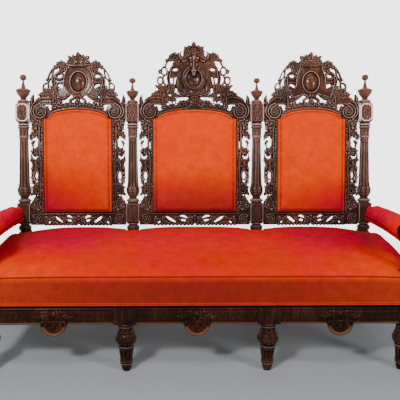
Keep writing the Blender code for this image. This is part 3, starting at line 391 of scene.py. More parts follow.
class Board:
    """Places are millimetres: x across from the middle, z up the board, heights above the ground."""

    def __init__(self, left, right, low, high, step=CARVING_STEP):
        self.step = step * 1000
        self.limits = (left, right, low, high)
        self.xs = np.arange(round(left / self.step), round(right / self.step) + 1) * self.step
        self.zs = np.arange(round(low / self.step), round(high / self.step) + 1) * self.step
        self.x, self.z = np.meshgrid(self.xs, self.zs)
        self.edge = np.full(self.x.shape, -3 * self.step)
        self.height = np.full(self.x.shape, -50.0)
        self.back = np.full(self.x.shape, 50.0)

    def window(self, low_x, high_x, low_z, high_z):
        rows = slice(*np.searchsorted(self.zs, (low_z - 3 * self.step, high_z + 3 * self.step)))
        columns = slice(*np.searchsorted(self.xs, (low_x - 3 * self.step, high_x + 3 * self.step)))
        return rows, columns

    def raise_to(self, where, edge, height, back=0.0):
        inside = edge > 0
        self.height[where] = np.where(inside, np.maximum(self.height[where], height), self.height[where])
        self.back[where] = np.where(inside, np.minimum(self.back[where], back), self.back[where])
        self.edge[where] = np.maximum(self.edge[where], edge)

    def near(self, line, reach):
        """The grid points near a line: their window, distance, side and share of the way along."""
        (low_x, low_z), (high_x, high_z) = line.min(axis=0) - reach, line.max(axis=0) + reach
        where = self.window(low_x, high_x, low_z, high_z)
        x, z = self.x[where], self.z[where]
        best = np.full(x.shape, 1e9)
        share = np.zeros(x.shape)
        side = np.zeros(x.shape)
        for i, (start, end) in enumerate(zip(line, line[1:])):
            way = end - start
            t = np.clip(((x - start[0]) * way[0] + (z - start[1]) * way[1]) / (way @ way + 1e-9), 0, 1)
            away_x, away_z = x - start[0] - t * way[0], z - start[1] - t * way[1]
            distance = away_x**2 + away_z**2
            closer = distance < best
            best = np.where(closer, distance, best)
            share = np.where(closer, (i + t) / (len(line) - 1), share)
            side = np.where(closer, np.sign(way[0] * away_z - way[1] * away_x), side)
        return where, np.sqrt(best), side, share


print(f"boards are carved on a {CARVING_STEP * 1000} mm grid")

# %% [markdown]
# ## The carver's motifs
# Nineteenth-century carvers worked from a small stock of motifs: a band bent along a line, a leaf with
# a midrib and lobes, a volute, a shell, round berries, ovals and rings, and a flat plate with a raised
# rim for strapwork. Each is a formula for edge and height near a line or a centre.


# %% Bands and leaves
def band(board, points, widths, rise, lift=0.0, form="round", back=0.0):
    """A strip along a line. Widths are half widths along it."""
    line = flowing(points)
    where, distance, _, share = board.near(line, max(widths))
    width = np.interp(share, np.linspace(0, 1, len(widths)), widths)
    across = np.clip(distance / width, 0, 1)
    rounded_rim = np.sqrt(1 - np.clip((across - 0.8) / 0.2, 0, 1) ** 2 * 0.8)
    shapes = {
        "round": np.sqrt(1 - across**2),
        "hollow": (0.35 + 0.65 * smoothly(across, 0.25, 0.72)) * rounded_rim,
        "ridge": 1 - 0.85 * across,
        "flat": np.minimum(1, (1 - across) * 4),
    }
    board.raise_to(where, width - distance, lift + rise * shapes[form], back)


LOBES_LEAN = 0.7


def leaf(board, points, width, lobes, rise, lift=0.0, bite=0.42):
    """An acanthus leaf from its stalk to its tip, with rounded lobes, furrows between them and a midrib."""
    line = flowing(points)
    where, distance, _, share = board.near(line, width)
    spread = width * np.sin(math.pi * np.clip(share, 0.02, 1) ** 0.7) ** 0.65
    phase = share * lobes - LOBES_LEAN * distance / width + 0.25
    notch = np.abs(np.cos(math.pi * phase)) ** 2.2
    half = np.maximum(spread * (1 - bite * notch), 0.6)
    across = np.clip(distance / half, 0, 1)
    furrow = notch * smoothly(distance / width, 0.12, 0.45)
    rib = np.exp(-((distance / (0.13 * width + 0.5)) ** 2))
    shape = np.sqrt(1 - 0.92 * across**2) * (0.72 + 0.28 * share) - 0.42 * furrow - 0.30 * rib
    board.raise_to(where, half - distance, lift + rise * shape)


def spray(board, rise, lift, *leaves, bite=0.42):
    """Several leaves of one thickness, each with its line, its width and its lobes."""
    for points, width, lobes in leaves:
        leaf(board, points, width, lobes, rise, lift, bite)


# %% Rounds: domes, hollows, rings, volutes and fans
def oval(board, centre, half_width, half_height):
    """The grid points round an oval, and how far out each lies: 0 in the middle, 1 on the outline."""
    x, z = centre
    where = board.window(x - half_width, x + half_width, z - half_height, z + half_height)
    return where, np.hypot((board.x[where] - x) / half_width, (board.z[where] - z) / half_height)


def dome(board, centre, half_width, half_height, rise, lift=0.0, power=0.5, back=0.0):
    where, reach = oval(board, centre, half_width, half_height)
    height = lift + rise * np.clip(1 - reach**2, 0, 1) ** power
    board.raise_to(where, (1 - reach) * min(half_width, half_height), height, back)


def ring(board, centre, half_width, half_height, width, rise, lift=0.0, back=0.0):
    """A rounded oval ring. The half sizes are those of its middle line."""
    outer = width + max(half_width, half_height)
    where = board.window(centre[0] - outer, centre[0] + outer, centre[1] - outer, centre[1] + outer)
    x, z = board.x[where] - centre[0], board.z[where] - centre[1]
    reach = np.hypot(x / half_width, z / half_height)
    scale = np.hypot(x, z) / np.maximum(reach, 1e-6)
    distance = np.abs(reach - 1) * scale
    round_top = np.sqrt(np.clip(1 - (distance / width) ** 2, 0, 1))
    board.raise_to(where, width - distance, lift + rise * round_top, back)


def volute(board, centre, radius, turns, start, turning, width, rise, lift=0.0):
    """A scroll that winds in to a button. Start is the angle where it begins, turning 1 or -1."""
    steps = int(turns * 10) + 1
    shares = np.linspace(0, 1, steps)
    angles = math.radians(start) + turning * shares * turns * 2 * math.pi
    reach = (radius - width) * (1 - 0.80 * shares**0.85)
    points = np.stack([centre[0] + reach * np.cos(angles), centre[1] + reach * np.sin(angles)], 1)
    dome(board, centre, radius - width * 0.6, radius - width * 0.6, rise * 0.25, lift - rise * 0.1, 0.3)
    band(board, points, (width, width * 0.85, width * 0.6, width * 0.45), rise, lift, "hollow")
    dome(board, centre, radius * 0.24, radius * 0.24, rise * 1.15, lift)


def fan(board, centre, radius, low, high, lobes, rise, lift=0.0):
    """A shell: lobes that spread from a centre, between two angles."""
    reach = radius * 1.05
    where = board.window(centre[0] - reach, centre[0] + reach, centre[1] - reach, centre[1] + reach)
    x, z = board.x[where] - centre[0], board.z[where] - centre[1]
    distance = np.hypot(x, z)
    angle = np.degrees(np.arctan2(z, x)) % 360
    share = np.clip((angle - low) / (high - low), 0, 1)
    lobe = np.abs(np.sin(math.pi * share * lobes))
    sides = distance * np.sin(np.radians(np.clip(np.minimum(angle - low, high - angle), -90, 90)))
    shape = (0.30 + 0.70 * lobe**0.7) * (0.45 + 0.55 * np.clip(distance / radius, 0, 1))
    tip = np.sqrt(1 - np.clip((distance / radius - 0.82) / 0.18, 0, 1) ** 2 * 0.85)
    board.raise_to(where, np.minimum(radius - distance, sides + 1.5), lift + rise * shape * tip)


# %% Plates and openings
BEVEL = 2.5


def plate(board, corners, rise, lift=0.0, rim=0.0, rim_rise=0.0):
    """A flat place with bevelled edges, and a raised rim where one is asked for."""
    line = np.array([*corners, corners[0]], float)
    where, distance, _, _ = board.near(line, 2)
    x, z = board.x[where], board.z[where]
    inside = np.zeros(x.shape, bool)
    for (x0, z0), (x1, z1) in zip(line, line[1:]):
        inside ^= ((z0 > z) != (z1 > z)) & (x < (x1 - x0) * (z - z0) / (z1 - z0 + 1e-12) + x0)
    edge = np.where(inside, distance, -distance)
    height = lift + rise * smoothly(edge, 0, BEVEL)
    if rim:
        height = height + rim_rise * smoothly(edge, 0, rim * 0.3) * (1 - smoothly(edge, rim * 0.7, rim))
    board.raise_to(where, edge, height)


def pierce(board, points, widths):
    """An opening sawn through along a line."""
    where, distance, _, share = board.near(flowing(points), max(widths))
    width = np.interp(share, np.linspace(0, 1, len(widths)), widths)
    board.edge[where] = np.minimum(board.edge[where], distance - width)


def openings(board, *cuts, stretch=1.0):
    """Several openings, each with its line and its half widths."""
    for points, widths in cuts:
        pierce(board, [(x * stretch, z) for x, z in points], widths)


def beads(board, line, size, gap, rise, lift=0.0):
    """Round beads in a row along a line."""
    places = flowing(line)
    lengths = np.hstack([0, np.cumsum(np.hypot(*np.diff(places, axis=0).T))])
    for way in np.arange(gap / 2, lengths[-1], gap):
        centre = [np.interp(way, lengths, places[:, i]) for i in (0, 1)]
        dome(board, centre, size, size, rise, lift)


def sink(board, centre, half_width, half_height, floor, power=0.5):
    """A smooth oval hollow, down to the floor in its middle."""
    where, reach = oval(board, centre, half_width, half_height)
    height = board.height[where]
    hollow = height - (height - floor) * np.clip(1 - reach**2, 0, 1) ** power
    board.height[where] = np.where(reach < 1, hollow, height)


# %% [markdown]
# ## From heights to a closed mesh
# Grid cells that touch wood are kept. Their corners that fall outside are drawn in to the point where
# the edge crosses zero, so outlines are smooth although the grid is square. A second copy of the
# surface makes the back, and the loose sides are joined by walls. A number for wear and painted shade
# compares each height with the average round it. A ridge stands above it and is painted bright, partly
# as wear and partly as a highlight, and a hollow lies below it and is painted dark, as shade.


# %% The mesh of a carved board
def mirrored(board):
    """The whole board from its left half, whose last column is the middle line."""
    for name in ("edge", "height", "back"):
        half = getattr(board, name)
        setattr(board, name, np.hstack([half, half[:, -2::-1]]))
    board.xs = np.hstack([board.xs, -board.xs[-2::-1]])
    board.x, board.z = np.meshgrid(board.xs, board.zs)
    left, _, low, high = board.limits
    board.limits = (left, -left, low, high)
    return board


def flipped(board):
    """The same board turned left for right."""
    other = copy.copy(board)
    for name in ("edge", "height", "back"):
        setattr(other, name, getattr(board, name)[:, ::-1].copy())
    other.xs = -board.xs[::-1]
    other.x, other.z = np.meshgrid(other.xs, other.zs)
    left, right, low, high = board.limits
    other.limits = (-right, -left, low, high)
    return other


STEPS_ROUND = [(i, j) for i in (-1, 0, 1) for j in (-1, 0, 1) if i or j]


def neighbours(field, fill):
    around = np.pad(field, 1, constant_values=fill)
    rows, columns = field.shape
    return [around[1 + i:1 + i + rows, 1 + j:1 + j + columns] for i, j in STEPS_ROUND]


def drawn_in(board):
    """Places and heights, with outside corners moved onto the outline."""
    edge = board.edge
    wood = edge > 0
    count = np.zeros(edge.shape)
    sums = np.zeros((4,) + edge.shape)
    fields = [neighbours(wood, False)]
    fields += [neighbours(field, 0.0) for field in (edge, board.height, board.back)]
    for (i, j), inside, other, height, back in zip(STEPS_ROUND, *fields):
        use = inside & ~wood
        share = np.where(use, edge / np.where(use, edge - other, 1), 0)
        count += use
        for k, value in enumerate((share * j * board.step, share * i * board.step, height, back)):
            sums[k] += np.where(use, value, 0)
    touched = count > 0
    mean = sums / np.maximum(count, 1)
    left, right, low, high = board.limits
    x = np.clip(board.x + np.where(touched, mean[0], 0), left, right)
    z = np.clip(board.z + np.where(touched, mean[1], 0), low, high)
    height = np.where(touched, mean[2], board.height)
    back = np.where(touched, mean[3], board.back)
    return x, z, height, back, wood, wood | touched


WEAR_AND_SHADE_RELIEF = 2.2


def board_mesh(name, board, ground, rear, arris=ARRIS * 1000):
    """A closed mesh in the plane of the board: x across, y into it from the ground, z up. In metres."""
    x, z, height, back, wood, used = drawn_in(board)
    rounding = np.clip(board.edge / arris, 0, 1)
    height = height - arris * (1 - np.sqrt(1 - (1 - rounding) ** 2))
    level = np.where(used, height, 0)
    around = softened(level, 5) / np.maximum(softened(used.astype(float), 5), 0.05)
    # This number paints ridges bright, partly as wear and partly as a highlight, and paints hollows dark, as
    # shade.
    wear = np.clip((height - around) / WEAR_AND_SHADE_RELIEF, -1, 1)
    cells = (wood[:-1, :-1] | wood[1:, :-1] | wood[:-1, 1:] | wood[1:, 1:])
    index = np.cumsum(used.ravel()).reshape(used.shape) - 1
    total = int(used.sum())
    low_left, low_right = index[:-1, :-1], index[:-1, 1:]
    high_left, high_right = index[1:, :-1], index[1:, 1:]
    front = np.stack([low_left, low_right, high_right, high_left], -1)[cells]
    walls = []
    outside = np.pad(~cells, 1, constant_values=True)
    for beyond, start, end in (
        (outside[:-2, 1:-1], low_left, low_right), (outside[1:-1, 2:], low_right, high_right),
        (outside[2:, 1:-1], high_right, high_left), (outside[1:-1, :-2], high_left, low_left),
    ):
        first, last = start[cells & beyond], end[cells & beyond]
        walls.append(np.stack([last, first, first + total, last + total], -1))
    faces = np.vstack([front, front[:, ::-1] + total] + walls)
    face_y = ground * 1000 - height[used]
    back_y = np.maximum(rear * 1000 - np.maximum(back[used], 0), face_y + 2)
    points = np.vstack([np.stack([x[used], y, z[used]], -1) for y in (face_y, back_y)]) / 1000
    mesh = mesh_from(name, points, faces)
    write_wear_and_shade(mesh, np.hstack([wear[used], np.zeros(total)]))
    return mesh


def write_wear_and_shade(mesh, values):
    attribute = mesh.attributes.new("wear", "FLOAT", "POINT")
    attribute.data.foreach_set("value", values.astype(np.float32))


def paint_rubbed_highlight(mesh, chosen):
    """Paints a bright edge where chosen says, from x and z in millimetres: partly rubbing by hands, shoes and
    dusters on what stands proud, and partly a painted highlight.
    """
    x, _, z = coordinates(mesh).T * 1000
    wear = np.zeros(len(x), np.float32)
    mesh.attributes["wear"].data.foreach_get("value", wear)
    wear[chosen(x, z)] = 1
    mesh.attributes["wear"].data.foreach_set("value", wear)


def dressed(name, mesh, material, nodes, smooth=50):
    """A finished piece: shaded, painted, riding on the sofa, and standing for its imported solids."""
    mesh.shade_smooth()
    mesh.set_sharp_from_angle(angle=math.radians(smooth))
    mesh.materials.clear()
    mesh.materials.append(material)
    piece = piece_from(name, mesh)
    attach(piece, "root")
    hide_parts(*nodes)

# %% [markdown]
# ## The plane of the back
# The posts lean back by 8.9 degrees. Every carved board of the back is drawn upright, across and up
# from the line where the posts meet the seat, and one matrix then leans it and moves it to its bay.

# %% Sizes of the back, as the joiner has them
RAKE = math.radians(8.9)
SEAT_LINE = 0.485
BACK_Y = 0.23025
POST_X = {"outer_left": -0.872, "inner_left": -0.317, "inner_right": 0.317, "outer_right": 0.872}
HALF_POST = 0.033
STRIP = 71
SIDE_HALF_PAD = 173.5
SHOULDER, ARCH_RISE, ARCH_INSET = 575, 47, 20
CREST_FOOT = 574.0
BAYS = {
    "left": ("outer_left", "inner_left"),
    "centre": ("inner_left", "inner_right"),
    "right": ("inner_right", "outer_right"),
}
BOARD_GROUND = -0.012
BOARD_REAR = 0.003


def bay_centre(bay):
    return sum(POST_X[post] for post in BAYS[bay]) / 2


def half_opening(bay):
    """From the middle of a bay to its post, in millimetres, with a little room."""
    first, second = (POST_X[post] for post in BAYS[bay])
    return ((second - first) / 2 - HALF_POST) * 1000 - 0.6


def lean(x):
    return Matrix.Translation((x, BACK_Y, SEAT_LINE)) @ Matrix.Rotation(-RAKE, 4, "X")


def arch(x, half_pad):
    """Height of the pad's arched top."""
    return SHOULDER + ARCH_RISE * math.sqrt(max(0, 1 - (x / (half_pad - ARCH_INSET)) ** 2))


# %% [markdown]
# ## Crests: what all three share
# Over each pad runs an arched moulding under leaf work. At each corner a broad pediment arm curls in
# to a volute, with a pointed leaf against the post. The two halves of a crest mirror each other, so
# only the left one is carved, then copied across the middle line.


# %% Arch moulding, pediment arms, volutes and spires
def crest_corner(board, half_open, half_pad, inner):
    line = [(x, arch(x, half_pad)) for x in np.linspace(-(half_pad - 24), 0, 12)]
    for rise, width, up, form in ((8, 5.5, 6, "round"), (5, 5.5, 15, "ridge")):
        band(board, [(x, z + up) for x, z in line], (width,), rise, 7, form)
    beads(board, [(x, z + 16) for x, z in line], 5, 10.5, 8, 7)
    out = half_pad - SIDE_HALF_PAD
    post = -122 - out
    corner = -half_open
    pad = -half_pad
    ground = [
        (corner - 5, 570), (corner - 5, 648), (corner + 8, 656), (corner + 20, 622), (post - 30, 640),
        (pad + 34, 606), (pad + 22, 590), (pad + 14, 570),
    ]
    plate(board, ground, 3, 1)
    band(board, [(pad + 20, 574), (pad + 27, 594), (pad + 43, 609), (pad + 63, 619)], (6, 6, 5, 4), 7, 3)
    band(board, [(x, z + 3) for x, z in line], (6.5,), 4, 0, "flat")
    volute(board, (-187 - out, 608), 43, 1.8, 95, 1, 9.5, 12, 8)
    arm = [
        (post, 661), (post - 30, 664), (post - 62, 659), (post - 88, 643), (post - 104, 620),
        (post - 104, 596), (post - 90, 580),
    ]
    band(board, arm, (19, 20, 19, 15, 10, 8, 7), 10, 8, "hollow")
    beads(board, [(post - 4, 683), (post - 34, 687), (post - 66, 681), (post - 92, 662)], 7, 12, 9, 5)
    pointed = [(post - 98, 640), (post - 110, 650), (post - 113, 672), (corner + 16, 692)]
    leaf(board, pointed, 10, 2, 10, 6, 0.2)
    band(board, [(corner + 15, 640), (corner + 14, 664), (corner + 16, 695)], (9, 8, 1.4), 13, 5, "ridge")
    band(board, [(post, 684), (post, 628)], (5.5,), 12, 9)
    leaf(board, [(post - 6, 664), (post + 2, 682), (post + 8, 694)], 11, 2, 13, 9)
    band(board, [(post - 10, 628), (post + 10, 628)], (4.5,), 12, 8)
    dome(board, (post - 2, 640), 8, 10, 14, 8)
    for x in np.arange(post + 22, inner, 24):
        foot = arch(x, half_pad) + 20
        leaf(board, [(x + 12, foot - 2), (x - 4, foot + 10), (x - 16, foot + 4)], 11, 3, 9, 7)
        dome(board, (x + 13, foot + 4), 6, 6, 10, 8)


# %% [markdown]
# ## Side crests
# One pierced board: a palmette on top, leaf sprays on the shoulders, a strapwork cartouche dished
# round an oval cabochon, and vine tendrils with leaves down the outer edges.


# %% Side crest
def side_crest(half_open, half_pad):
    board = Board(-half_open, 0, CREST_FOOT, 912)
    crest_corner(board, half_open, half_pad, 0)
    spray(
        board, 12, 9,
        ([(-112, 672), (-134, 690), (-162, 700)], 20, 4), ([(-118, 690), (-148, 712), (-178, 724)], 18, 4),
        ([(-150, 692), (-178, 700), (-204, 690)], 14, 4), ([(-112, 692), (-130, 716), (-142, 742)], 15, 4),
        ([(-108, 690), (-106, 712), (-118, 736)], 13, 3), ([(-104, 676), (-90, 662), (-96, 648)], 14, 3),
        ([(-128, 672), (-150, 680), (-166, 672)], 12, 3),
    )
    shield = [
        (0, 848), (-39, 848), (-57, 839), (-62, 818), (-71, 796), (-76, 768), (-78, 738), (-98, 736),
        (-117, 742), (-121, 728), (-110, 700), (-95, 677), (-66, 684), (-42, 694), (-22, 684), (0, 680),
    ]
    plate(board, shield, 9, 6, 6, 5)
    plate(board, [(-66, 774), (-128, 774), (-128, 752), (-66, 752)], 6, 7, 4, 3)
    plate(board, [(-64, 758), (-124, 758), (-120, 716), (-74, 716)], 4, 6)
    ring(board, (-96, 787), 19, 16, 8, 9, 9)
    band(board, [(-124, 778), (-127, 756), (-122, 734), (-113, 716)], (8, 8, 7, 5), 11, 9, "hollow")
    pierce(board, [(-103, 787), (-90, 789)], (6, 7.5))
    pierce(board, [(-99, 743), (-88, 737), (-83, 731)], (7, 8.5, 5))
    sink(board, (0, 764), 72, 82, 9, 0.8)
    ring(board, (0, 757), 43, 54, 4.5, 9, 8)
    sink(board, (0, 757), 40, 51, 6)
    dome(board, (0, 757), 36, 47, 20, 7, 0.55)
    leaf(board, [(0, 690), (0, 668), (0, 648)], 15, 3, 13, 8)
    for sweep in (
        [(-6, 690), (-24, 676), (-38, 664), (-34, 646)], [(-96, 680), (-74, 674), (-56, 684), (-44, 694)],
    ):
        band(board, sweep, (6, 7, 6, 5), 12, 9)
    spray(
        board, 14, 12,
        ([(0, 846), (0, 876), (0, 909)], 22, 3), ([(-3, 848), (-17, 872), (-28, 896)], 15, 3),
        ([(-6, 848), (-29, 868), (-54, 889)], 17, 3), ([(-10, 848), (-34, 858), (-54, 868)], 15, 3),
        bite=0.24,
    )
    volute(board, (-44, 854), 19, 1.2, 0, 1, 6, 11, 11)
    band(board, [(-56, 843), (-30, 840), (0, 840)], (6, 9, 10), 10, 11)
    spray(
        board, 12, 9,
        ([(-56, 822), (-84, 842), (-110, 858)], 21, 4), ([(-60, 838), (-78, 852), (-92, 868)], 14, 3),
        ([(-62, 834), (-100, 842), (-138, 816)], 16, 5), ([(-62, 828), (-86, 816), (-104, 800)], 16, 3),
    )
    for sweep in (
        [(-130, 826), (-144, 805), (-152, 786), (-159, 770)],
        [(-130, 826), (-131, 800), (-137, 781), (-148, 768), (-154, 752), (-154, 730), (-150, 704)],
        [(-159, 769), (-147, 767)], [(-153, 752), (-168, 751), (-180, 737), (-177, 706)],
    ):
        band(board, sweep, (4.0,), 7, 6, back=5)
    dome(board, (-158, 768), 9, 8, 9, 6, back=5)
    return mirrored(board)


# %% [markdown]
# ## Middle crest
# The middle crest is taller. Below its palmette the head of a horned goat looks out over an oval
# niche. The head is the deepest carving on the sofa, so its domes stand 30 mm above the board.


# %% Middle crest with its head
def horned_head(board):
    band(board, [(-14, 892), (-34, 884), (-56, 872), (-72, 884), (-66, 908)], (10, 10, 9, 6.5, 3), 15, 17)
    leaf(board, [(-20, 876), (-38, 872), (-56, 856)], 12, 1, 10, 17, 0.1)
    band(board, [(0, 904), (0, 882), (0, 858), (0, 832), (0, 810)], (27, 27, 21, 14, 12), 26, 12)
    for place, half_width, half_height, rise, lift in (
        ((0, 893), 22, 16, 22, 22), ((-15, 873), 10, 6.5, 12, 29), ((-13.5, 862), 5.6, 4.2, 8, 28),
        ((0, 814), 12.5, 10, 14, 26), ((-11, 843), 6.5, 12, 6, 27), ((0, 797), 7, 8, 8, 17),
        ((-6, 908), 8, 10, 12, 26), ((-18, 900), 8, 8, 12, 24),
    ):
        dome(board, place, half_width, half_height, rise, lift)
    band(board, [(0, 888), (0, 852), (0, 822)], (6, 6.5, 7.5), 7, 34)
    for place, half_width, half_height in (
        ((-20.5, 863), 4, 5), ((-6.5, 817), 3, 2.6), ((0, 806), 9, 2.2), ((-4, 876), 2, 7),
    ):
        sink(board, place, half_width, half_height, 22)


def middle_crest(half_open, half_pad):
    board = Board(-half_open, 0, CREST_FOOT, 962)
    crest_corner(board, half_open, half_pad, -60)
    spray(
        board, 12, 9,
        ([(-122, 700), (-158, 712), (-186, 706), (-222, 694)], 17, 5),
        ([(-124, 706), (-160, 726), (-200, 741)], 18, 5),
        ([(-118, 700), (-140, 728), (-150, 756)], 15, 4), ([(-112, 696), (-108, 724), (-116, 752)], 14, 4),
        ([(-106, 700), (-88, 690), (-70, 682)], 13, 3), ([(-116, 690), (-104, 672), (-92, 660)], 15, 3),
        ([(-140, 694), (-134, 672), (-142, 650)], 15, 3), ([(-122, 676), (-120, 656), (-112, 640)], 13, 3),
        ([(-164, 690), (-176, 700), (-206, 690)], 12, 4),
    )
    dome(board, (-152, 690), 12, 12, 14, 12)
    dome(board, (-128, 744), 9, 9, 13, 10)
    pierce(board, [(-128, 660), (-120, 652)], (3.5, 4))
    pierce(board, [(-96, 646), (-84, 648)], (3.5, 3.5))
    shield = [
        (0, 886), (-46, 880), (-78, 858), (-84, 832), (-74, 808), (-80, 786), (-60, 760), (-70, 720),
        (-40, 700), (0, 690),
    ]
    plate(board, shield, 7, 6, 5, 4)
    plate(board, [(-66, 812), (-128, 810), (-134, 780), (-66, 780)], 7, 8, 4, 3)
    plate(board, [(-62, 786), (-84, 786), (-84, 752), (-62, 752)], 4, 6)
    ring(board, (-95, 820), 20, 15, 8, 9, 9)
    pierce(board, [(-101, 819), (-90, 822)], (6, 6.5))
    band(board, [(-124, 806), (-129, 776), (-124, 744), (-116, 714)], (9, 9, 8, 6), 12, 9, "hollow")
    band(board, [(-100, 786), (-104, 752), (-98, 716)], (4, 4.5, 4), 10, 8)
    pierce(board, [(-90, 776), (-84, 766)], (7.5, 7))
    band(board, [(-78, 768), (-72, 742), (-64, 712)], (14, 27, 10), 13, 7)
    sink(board, (0, 780), 78, 80, 4, 0.9)
    ring(board, (0, 775), 46, 53, 8.5, 13, 9)
    ring(board, (0, 775), 55, 62, 3.5, 10, 8)
    sink(board, (0, 775), 40, 47, -7, 0.8)
    horned_head(board)
    foot = [
        (0, 722), (-44, 716), (-62, 700), (-34, 690), (-30, 668), (-80, 664), (-94, 640), (-60, 634),
        (0, 640),
    ]
    plate(board, foot, 5, 4)
    band(board, [(0, 706), (0, 690), (0, 640)], (30, 24, 34), 12, 6)
    leaf(board, [(0, 704), (0, 676), (0, 640)], 20, 4, 13, 12)
    spray(
        board, 11, 9,
        ([(-8, 648), (-30, 662), (-52, 652)], 13, 3), ([(-34, 646), (-60, 658), (-84, 650)], 13, 4),
        ([(-10, 690), (-30, 700), (-54, 706)], 12, 3), ([(-20, 716), (-40, 712), (-58, 722)], 11, 3),
    )
    for sweep in (
        [(-24, 706), (-44, 694), (-66, 700), (-84, 712)], [(-50, 662), (-44, 642), (-30, 632), (-18, 644)],
        [(-30, 690), (-52, 684), (-80, 692)],
    ):
        band(board, sweep, (5, 6, 5, 4), 11, 10)
    pierce(board, [(-72, 674), (-54, 675), (-38, 678)], (3.5, 6.5, 4.5))
    spray(
        board, 14, 12,
        ([(0, 890), (0, 924), (0, 960)], 24, 4), ([(-3, 890), (-20, 916), (-27, 944)], 17, 3),
        ([(-8, 890), (-30, 912), (-50, 936)], 19, 4), ([(-12, 892), (-36, 902), (-55, 914)], 16, 3),
        bite=0.24,
    )
    volute(board, (-40, 894), 19, 1.2, 0, 1, 6, 11, 15)
    spray(
        board, 12, 9,
        ([(-58, 862), (-82, 884), (-103, 905)], 20, 4), ([(-60, 872), (-94, 892), (-128, 888)], 19, 5),
        ([(-64, 860), (-104, 876), (-148, 864)], 17, 5), ([(-66, 850), (-92, 852), (-112, 834)], 16, 4),
    )
    ring(board, (-150, 813), 14, 21, 4.2, 7, 6, back=5)
    ring(board, (-171, 811), 7, 7, 4.2, 7, 6, back=5)
    ring(board, (-171, 765), 13, 19, 4.2, 7, 6, back=5)
    for sweep in (
        [(-132, 864), (-141, 850), (-146, 832)], [(-152, 794), (-156, 772), (-150, 750), (-142, 728)],
    ):
        band(board, sweep, (4.4,), 8, 6, back=5)
    return mirrored(board)


# %% Crests carved and set in their bays
def sheared(mesh, shift):
    """The boards above the arch stand a few millimetres nearer the middle of the sofa."""
    for vertex in mesh.vertices:
        vertex.co.x += shift * smoothly(vertex.co.z, 0.64, 0.74)


def set_board(name, board, bay, nodes, shift=0.0, wood=WALNUT):
    mesh = board_mesh(name, board, BOARD_GROUND, BOARD_REAR)
    if shift:
        sheared(mesh, shift)
    mesh.transform(lean(bay_centre(bay)))
    dressed(name, mesh, wood, nodes)
    print(f"{name}: {len(mesh.polygons)} faces")


CRESTS = {
    "left": (side_crest, 0.007, WALNUT),
    "centre": (middle_crest, -0.004, SHADED_CREST_WALNUT),
    "right": (side_crest, -0.005, WALNUT),
}
for bay, (motifs, shift, wood) in CRESTS.items():
    half_open = half_opening(bay)
    board = motifs(half_open, half_open - STRIP)
    set_board(f"crest_{bay}_carved", board, bay, [f"crest_{bay}", f"cartouche_{bay}"], shift, wood)

# %% [markdown]
# ## Side strips
# Each panel is framed by two pierced strips, 71 mm wide: two stalks stand beside the pad, and from them
# berries, leaves and buds lean out to the post, with oval openings between. One strip is carved from
# the pad outwards, and is turned over for the other side of a bay.


# %% Side strip
STRIP_FOOT, STRIP_TOP = 94, 573.7


